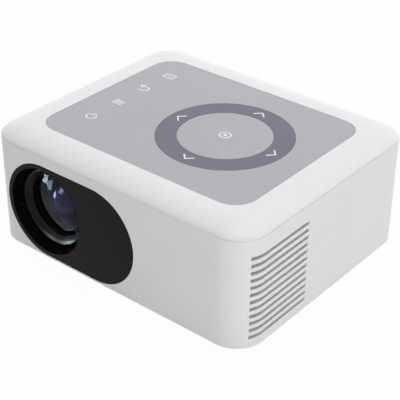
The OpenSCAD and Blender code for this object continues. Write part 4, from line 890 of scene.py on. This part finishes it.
# ---------------------------------------------------------------- sockets at the back
def socket_shells(node, tongue_t, corner_cut, spring_x):
    """Folded metal shells with spring tabs, and the tongue inside each."""
    wall = 0.6 * MM
    shells, tongues = [], []
    for low, high in solids_of(node):
        mid, w, h = (low + high) / 2, high.x - low.x, high.z - low.z
        outer = block((-w / 2, low.y, -h / 2), (w / 2, high.y, h / 2))
        for upper, width, steps in ((True, 0.5 * MM, 3), (False, corner_cut or 0.5 * MM, 1 if corner_cut else 3)):
            bevel(outer, [e for e in outer.edges if abs(e.verts[0].co.y - e.verts[1].co.y) > MM
                    and (e.verts[0].co.z > 0) == upper], width, steps)
        inner = outer.copy()
        bmesh.ops.scale(inner, vec=((w - 2 * wall) / w, 1, (h - 2 * wall) / h), verts=inner.verts)
        slits = (block((mid.x + x - 0.12 * MM, high.y - 8 * MM, high.z - 2 * wall),
                (mid.x + x + 0.12 * MM, high.y - 2.5 * MM, high.z + wall))
                for tab in (-spring_x, spring_x) for x in (tab - MM, tab + MM))
        shell = carve(moved(outer, (mid.x, 0, mid.z)), moved(inner, (mid.x, 5 * MM, mid.z)))
        shells.append(carve(shell, joined(*slits)))
        tongues.append(block((low.x + 2 * MM, low.y + 4 * MM, mid.z - tongue_t / 2),
                (high.x - 2 * MM, high.y - 1.5 * MM, mid.z + tongue_t / 2), 0.15 * MM))
    stand_in(node, *shells)
    detail(node + "_tongues", node, "black_plastic", *tongues)


def contacts(node, count, width, sides):
    """Plated strips on the tongues of a row of sockets."""
    strips = []
    for low, high in solids_of(node):
        mid = (low + high) / 2
        pitch = (high.x - low.x - 6 * MM) / (count - 1)
        for x in (mid.x + (i - (count - 1) / 2) * pitch for i in range(count)):
            strips += [block((x - width / 2, high.y - 9 * MM, mid.z + side - 0.06 * MM),
                    (x + width / 2, high.y - 2.2 * MM, mid.z + side + 0.06 * MM)) for side in sides]
    detail(node + "_contacts", node, "brass", *strips)


def audio_jacks():
    """Jack bodies with a plated ring round each hole."""
    bodies, rings = [], []
    for low, high in solids_of("audio_jacks"):
        at, _, _, y = lying(low, high)
        bore = turned([(0, y + 1), (2.9, y + 1), (2.9, y - 0.5), (2.1, y - 0.5), (2.1, y - 13), (0, y - 13)], at,
                ALONG_Y, 48)
        bodies.append(carve(block(low, high, 0.35 * MM), bore))
        rings.append(turned([(1.8, y - 1.4), (1.8, y - 0.25), (2.0, y - 0.1), (2.55, y - 0.1), (2.85, y - 0.3),
                (2.85, y - 0.5), (2.1, y - 0.5), (2.1, y - 1.4)], at, ALONG_Y, 48))
    stand_in("audio_jacks", *bodies)
    detail("audio_jack_rings", "audio_jacks", "steel", *rings)


def mains_inlet():
    """A two-pin inlet: its opening is two joined rounds, and its pins are steel."""
    low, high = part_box("mains_inlet")
    bottom, round_r, round_x, pin_x = high.z - 15 * MM, 4.3 * MM, 3.9 * MM, 4.3 * MM
    mid = Vector(((low.x + high.x) / 2, 0, (bottom + high.z) / 2))
    body = block((low.x, low.y, bottom), high, 0.5 * MM)
    floor_y, mouth_y = Vector((0, low.y + 3 * MM, 0)), Vector((0, high.y + MM, 0))
    for side in (-round_x, round_x):
        at = mid + Vector((side, 0, 0))
        body = carve(body, rod(at + floor_y, at + mouth_y, round_r, 48))
    half = Vector((round_x, 0, 3.3 * MM))
    body = carve(body, block(mid + floor_y - half, mid + mouth_y + half))
    legs = (block((mid.x + x - MM, low.y + 2 * MM, low.z), (mid.x + x + MM, low.y + 6 * MM, bottom + 0.4 * MM))
            for x in (-6 * MM, 6 * MM))
    stand_in("mains_inlet", body, *legs)
    y0, y1 = low.y / MM + 2.5, high.y / MM - 4.0
    pins = (turned([(0, y0), (1.2, y0), (1.2, y1 - 0.8), (0.9, y1 - 0.2), (0.4, y1), (0, y1)],
            mid + Vector((side, 0, 0)), ALONG_Y, 32) for side in (-pin_x, pin_x))
    detail("mains_inlet_pins", "mains_inlet", "steel", *pins)


# ---------------------------------------------------------------- disc mechanism
DISC = upright(*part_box("spindle_hub"))[0] * Vector((1, 1, 0))
TURNED = Matrix.Translation(DISC) @ Matrix.Rotation(math.radians(225), 4, "Z")    # the mechanism's own axes
ROD_Z, ROD_V, SCREW_V = 75.0, 9.0, 17.0
SLED_U, SLED_HALF = 22.6, 5.5


def on_mechanism(bm):
    """Moves a mesh from the mechanism's own axes to its place."""
    bmesh.ops.transform(bm, matrix=TURNED, verts=bm.verts)
    return bm


def spindle_hub():
    """The turntable: a rotor with a rim groove, a centring cone with three sprung claws, and a rubber ring."""
    at, r, h = upright(*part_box("spindle_hub"))
    z0, bore = at.z / MM, 1.15
    top = z0 + h
    seat = top - 1.9
    hub = turned([(bore, z0), (r - 0.3, z0), (r, z0 + 0.3), (r, z0 + 0.9), (r - 0.4, z0 + 1.1), (r - 0.4, z0 + 1.4),
            (r, z0 + 1.6), (r, z0 + 1.9), (r - 0.3, z0 + 2.2), (9.5, z0 + 2.2), (9.5, seat - 0.4),
            (9.2, seat - 0.15), (7.7, seat - 0.15), (7.5, seat - 0.4), (7.3, seat - 0.4), (7.3, seat + 0.4),
            (6.9, seat + 1.2), (6.3, top), (2.2, top), (1.9, top - 0.35), (0, top - 0.35), (0, z0 + 3.4),
            (bore, z0 + 3.4)], DISC)
    claws = []
    for angle in (30, 150, 270):
        claw = bmesh.new()
        bmesh.ops.create_uvsphere(claw, u_segments=20, v_segments=12, radius=0.8 * MM)
        claws.append(moved(claw, DISC + outwards(angle) * 6.5 * MM + mm(0, 0, seat + 0.8)))
    stand_in("spindle_hub", hub, *claws)
    detail("hub_rubber_ring", "spindle_hub", "rubber",
            turned([(7.8, seat - 0.3), (9.1, seat - 0.3), (9.1, seat - 0.05), (8.9, seat), (8.0, seat),
            (7.8, seat - 0.05)], DISC))


def pickup():
    """The laser carriage: a sculpted body on its rods, an actuator frame, and the small lens."""
    z0, z1 = ROD_Z - 1.5, ROD_Z + 1.5
    u0, u1, reach = SLED_U - SLED_HALF, SLED_U + SLED_HALF, ROD_V + 2.6
    body = block_mm((u0, -reach, z0), (u1, reach, z1), 0.5)
    for v in (-ROD_V, ROD_V):
        body = carve(body, rod(Vector((u0 - 1, v, ROD_Z)) * MM, Vector((u1 + 1, v, ROD_Z)) * MM, 1.15 * MM))
    body = carve(body, joined(block_mm((u0 - 1, -5.5, z1 - 0.8), (SLED_U - 2.2, 5.5, z1 + 1)),
            block_mm((u0 - 1, 6.8, z1 - 0.5), (u0 + 2.2, reach + 1, z1 + 1)),
            block_mm((u0 - 1, -reach - 1, z1 - 0.5), (u0 + 2.2, -6.8, z1 + 1))))
    finger = block_mm((SLED_U - 2, ROD_V + 2.3, ROD_Z - 1), (SLED_U + 2, SCREW_V - 1.35, ROD_Z + 1), 0.25)
    lens_u, top = SLED_U + 3, ROD_Z + 2.1
    at = mm(lens_u, 0, 0)
    ring = carve(block_mm((lens_u - 2.5, -3.6, z1 - 0.1), (lens_u + 2.4, 3.6, top - 0.25), 0.3),
            plug(2.05, z1 - 1, top + 1, at, 40))
    stand_in("pickup_sled", on_mechanism(joined(body, finger, ring)))
    lens = turned([*cap(1.75, 0.55, top), (2.0, top - 0.6), (2.0, z1 + 0.02), (0, z1 + 0.02)], at, steps=40)
    detail("pickup_lens", "pickup_sled", "lens_glass", on_mechanism(lens))


def lead_screw():
    """A fine screw with a plain journal at each end."""
    u0, u1, r, root = 15.4, 61.4, 1.2, 0.85
    at = Vector((0, SCREW_V, ROD_Z)) * MM
    bar = turned([(0, u0), (r * 0.7, u0), (r * 0.7, u0 + 0.8), (root, u0 + 1.2), (root, u1 - 3.4), (r, u1 - 3.0),
            (r, u1 - 0.25), (r - 0.25, u1), (0, u1)], at, ALONG_X, 32)
    ridge = thread(at + mm(u0 + 1.6, 0, 0), ALONG_X, root * MM, 0.33 * MM, 1.5 * MM,
            (u1 - u0 - 5.2) * MM, 18)
    stand_in("lead_screw", on_mechanism(joined(bar, ridge)))


def disc_tray():
    """The tray, with a dip each side of its front edge for a finger to lift the disc."""
    reach, z = 61.0 * MM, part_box("disc_tray")[1].z / MM
    dips = (turned([(0, z - 2.5), (5.5, z - 2.5), (7.6, z - 1.9), (9.0, z), (9.0, z + 1), (0, z + 1)],
            DISC + outwards(angle) * reach, steps=48) for angle in (145, -145))
    bm = carve(node_copy("disc_tray"), joined(*dips))
    flatten(bm)
    ease(bm, 0.25 * MM)
    bmesh.ops.dissolve_degenerate(bm, edges=bm.edges, dist=0.002 * MM)
    stand_in("disc_tray", bm)


# ---------------------------------------------------------------- printed marks on the panel
ICON_X, ICON_PITCH, STROKE = -68.5, 28.79, 1.1
RING_X, CHEVRON_TIP, CHEVRON_ARM = 22.6, 43.5, 6.6


def panel_icons():
    """Four marks in a row, a mark in the middle of the ring pad, and a chevron on each side of it."""
    low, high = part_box("panel_icons")
    z0, z1, s = low.z / MM, high.z / MM, STROKE
    power_y, menu_y, back_y, source_y = (ICON_PITCH * (i - 1.375) for i in range(4))

    def ring(x, y, r):
        return turned([(r - s, z0), (r, z0), (r, z1), (r - s, z1)], Vector((x, y, 0)) * MM, steps=48)

    def bar(x, y, w, h, over=0.0):
        return block_mm((x - w / 2, y - h / 2, z0 - over), (x + w / 2, y + h / 2, z1 + over))

    marks = [carve(ring(ICON_X, power_y, 4.3), bar(ICON_X, power_y + 4, 3.8, 4, 1.0)),
            bar(ICON_X, power_y + 3, s, 4.6)]
    marks += [bar(ICON_X, menu_y + 2.4 * i, 8.8, s) for i in (-1, 0, 1)]
    hook_r = 3.7
    hook = carve(ring(ICON_X, back_y, hook_r), bar(ICON_X - 2.7, back_y, 5.4, 9, 1.0))
    for side in (-1, 1):
        hook = carve(hook, bar(ICON_X - 1.9, back_y + side * (hook_r - s / 2), 4.0, s), "UNION")
    tip_y = back_y + hook_r - s / 2
    head = bmesh.new()
    corners = [head.verts.new(Vector((ICON_X + x, tip_y + y, z0)) * MM)
            for x, y in ((-7.4, 0), (-3.4, -2.4), (-3.4, 2.4))]
    raise_faces(head, [head.faces.new(corners)], (z1 - z0) * MM)
    marks += [carve(hook, head, "UNION"),
            carve(bar(ICON_X, source_y, 9.8, 7.2), bar(ICON_X, source_y, 9.8 - 2 * s, 7.2 - 2 * s, 1.0)),
            bar(ICON_X, source_y, 4.6, s), ring(RING_X, 0, 4.6),
            plug(1.5, z0, z1, (RING_X * MM, 0, 0), 32)]
    for i in range(4):
        arms = (spun(block_mm((-s / 2, -s / 2, z0), (CHEVRON_ARM, s / 2, z1)), turn) for turn in (-135, 135))
        chevron = moved(carve(*arms, "UNION"), (CHEVRON_TIP * MM, 0, 0))
        marks.append(moved(spun(chevron, 90 * i), (RING_X * MM, 0, 0)))
    whole = joined(*marks)
    flatten(whole)
    bmesh.ops.dissolve_degenerate(whole, edges=whole.edges, dist=0.002 * MM)
    stand_in("panel_icons", whole)


# ---------------------------------------------------------------- motors, lamp and board components
def focus_motor():
    """A small can motor: a rolled seam, an end bell and two solder tags."""
    at, r, y0, y1 = lying(*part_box("focus_motor"))
    can = turned([(0, y0), (2.2, y0), (2.2, y0 + 0.5), (r - 0.5, y0 + 0.5), (r, y0 + 1.0), (r, y1 - 3.0),
            (r - 0.2, y1 - 2.8), (r - 0.2, y1 - 2.5), (r, y1 - 2.3), (r, y1 - 1.6), (r - 0.5, y1 - 1.2),
            (1.6, y1 - 1.2), (1.6, y1 - 0.2), (1.4, y1), (0, y1)], at, ALONG_Y)
    tags = (moved(block_mm((x - 0.7, y1 - 1.4, -0.15), (x + 0.7, y1 - 0.1, 0.15)), at) for x in (-3, 3))
    stand_in("focus_motor", can, *tags)


def chip_body(low, high):
    """A moulded package: eased edges and a dimple at its first pin."""
    mark, top = Vector((low.x + 1.6 * MM, low.y + 1.6 * MM, 0)), high.z / MM
    dimple = turned([(0, top - 0.15), (0.7, top - 0.15), (0.8, top + 1), (0, top + 1)], mark, steps=24)
    return carve(block(low, high, 0.2 * MM, 1), dimple)


def chip_leads(low, high, pitch=1.27 * MM):
    """Gull-wing leads along the two long sides of a package: a foot and a riser each."""
    leads = []
    half = 0.2 * MM
    count = int((high.x - low.x - 2 * MM) / pitch)
    start = (low.x + high.x) / 2 - (count - 1) * pitch / 2
    for x in (start + i * pitch for i in range(count)):
        for y, out in ((low.y, -1), (high.y, 1)):
            for reach, z0, z1 in ((1.1, 0.02, 0.2), (0.25, 0.2, 0.7)):
                near, far = sorted((y - out * 0.3 * MM, y + out * reach * MM))
                leads.append(block((x - half, near, low.z + z0 * MM), (x + half, far, low.z + z1 * MM)))
    return leads


def can_body(low, high):
    """An electrolytic can: a rolled groove near its foot, and a scored top."""
    at, r, _ = upright(low, high)
    z0, z1 = low.z / MM, high.z / MM
    at.z = 0
    bm = turned([(0, z0), (r - 0.3, z0), (r, z0 + 0.3), (r, z0 + 1.6), (r - 0.35, z0 + 1.9), (r - 0.35, z0 + 2.2),
            (r, z0 + 2.5), (r, z1 - 0.4), (r - 0.4, z1), (r - 0.7, z1), (r - 0.8, z1 - 0.15),
            (0, z1 - 0.15)], at, steps=40)
    x0, y0, arm = at.x / MM, at.y / MM, r * 0.65
    scores = (block_mm((x0 - x, y0 - y, z1 - 0.35), (x0 + x, y0 + y, z1 + 1))
            for x, y in ((arm, 0.15), (0.15, arm)))
    return carve(bm, carve(*scores, "UNION"))


def board_parts():
    """Chips with their leads, cans, and a finned block on the main board."""
    made, leads = [], []
    for low, high in solids_of("board_components"):
        tall = (high.z - low.z) / MM
        if tall > 7:
            made.append(can_body(low, high))
        elif tall > 4:
            gaps = (block((low.x - MM, y, low.z + 1.5 * MM), (high.x + MM, y + 1.2 * MM, high.z + MM))
                    for y in (low.y + (1.3 + 2.4 * i) * MM for i in range(12)))
            made.append(carve(block(low, high), joined(*gaps)))
        else:
            made.append(chip_body(low, high))
            leads += chip_leads(low, high)
    stand_in("board_components", *made)
    detail("chip_leads", "board_components", "steel", *leads)


def power_parts():
    """A transformer in its core, two cans and a film capacitor on the power board."""
    made, cores = [], []
    for low, high in solids_of("power_components"):
        size = (high - low) / MM
        if abs(size.x - size.y) < 0.1:
            made.append(can_body(low, high))
        elif size.x * size.y > 400:
            end, side, hole = mm(0, 0, 3), mm(3, 4, 0), mm(0, 5, 4)
            made.append(block(low + end, high - end, 1.2 * MM, 3))
            cores.append(ease(carve(block(low + side, high - side), block(low + hole, high - hole)), 0.3 * MM))
        else:
            made.append(block(low, high, 0.8 * MM, 3))
    stand_in("power_components", *made)
    detail("transformer_core", "power_components", "component_black", *cores)


def lamp_module():
    """A copper-coloured board with a framed emitter under its phosphor."""
    low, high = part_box("led_module")
    board_x, mid = high.x - 1.6 * MM, (low + high) / 2

    def square(x0, x1, half):
        return (x0, mid.y - half * MM, mid.z - half * MM), (x1, mid.y + half * MM, mid.z + half * MM)

    frame_ring = carve(block(*square(low.x, board_x + 0.1 * MM, 9.0)),
            block(*square(low.x - MM, low.x + 0.5 * MM, 7.8)))
    stand_in("led_module", block((board_x, low.y, low.z), high, 0.12 * MM, 1), ease(frame_ring, 0.1 * MM, 1))
    face = block(*square(low.x + 0.3 * MM, low.x + 0.55 * MM, 7.7), 0.08 * MM)
    detail("lamp_phosphor", "led_module", "component_amber", face, material=PHOSPHOR)


# ---------------------------------------------------------------- every piece, and the other nodes with eased edges
for make in (lens_bezel, lens_barrel, lens_retainer, lens_glass, lens_highlights, main_shell, screws, rubber_feet,
        front_foot, tripod_insert):
    make()
for fan in ("exhaust", "intake"):
    fan_frame(fan + "_frame")
    fan_rotor(fan + "_rotor")
speakers()
socket_shells("hdmi_sockets", 1.0 * MM, 1.3 * MM, 3.6 * MM)
contacts("hdmi_sockets", 10, 0.42 * MM, (-0.52 * MM, 0.52 * MM))
socket_shells("usb_sockets", 1.6 * MM, 0.0, 3.2 * MM)
contacts("usb_sockets", 4, 1.1 * MM, (-0.82 * MM,))
for make in (audio_jacks, mains_inlet, spindle_hub, pickup, lead_screw, disc_tray, panel_icons, focus_motor,
        board_parts, power_parts, lamp_module):
    make()
EASED = {
    "top_cover": 0.25, "control_panel": 0.2, "ring_pad": 0.12, "bottom_cover": 0.3, "lens_mount": 0.25,
    "focus_ring": 0.12, "focus_pinion": 0.08, "engine_box": 0.3, "engine_lid": 0.4, "fold_mirror": 0.15,
    "lcd_panel": 0.15, "heat_sink": 0.15, "dust_filter": 0.3, "main_board": 0.1, "port_panel": 0.12,
    "power_board": 0.1, "ir_window": 0.3, "drive_bracket": 0.15, "drive_chassis": 0.12, "drive_cover": 0.12,
    "slide_rails": 0.12, "tray_bezel": 0.3, "eject_button": 0.2, "traverse_plate": 0.12, "spindle_motor": 0.15,
    "guide_rods": 0.1, "sled_motor": 0.2,
}
for node, width in EASED.items():
    stand_in(node, ease(node_copy(node), width * MM), ending="_eased")
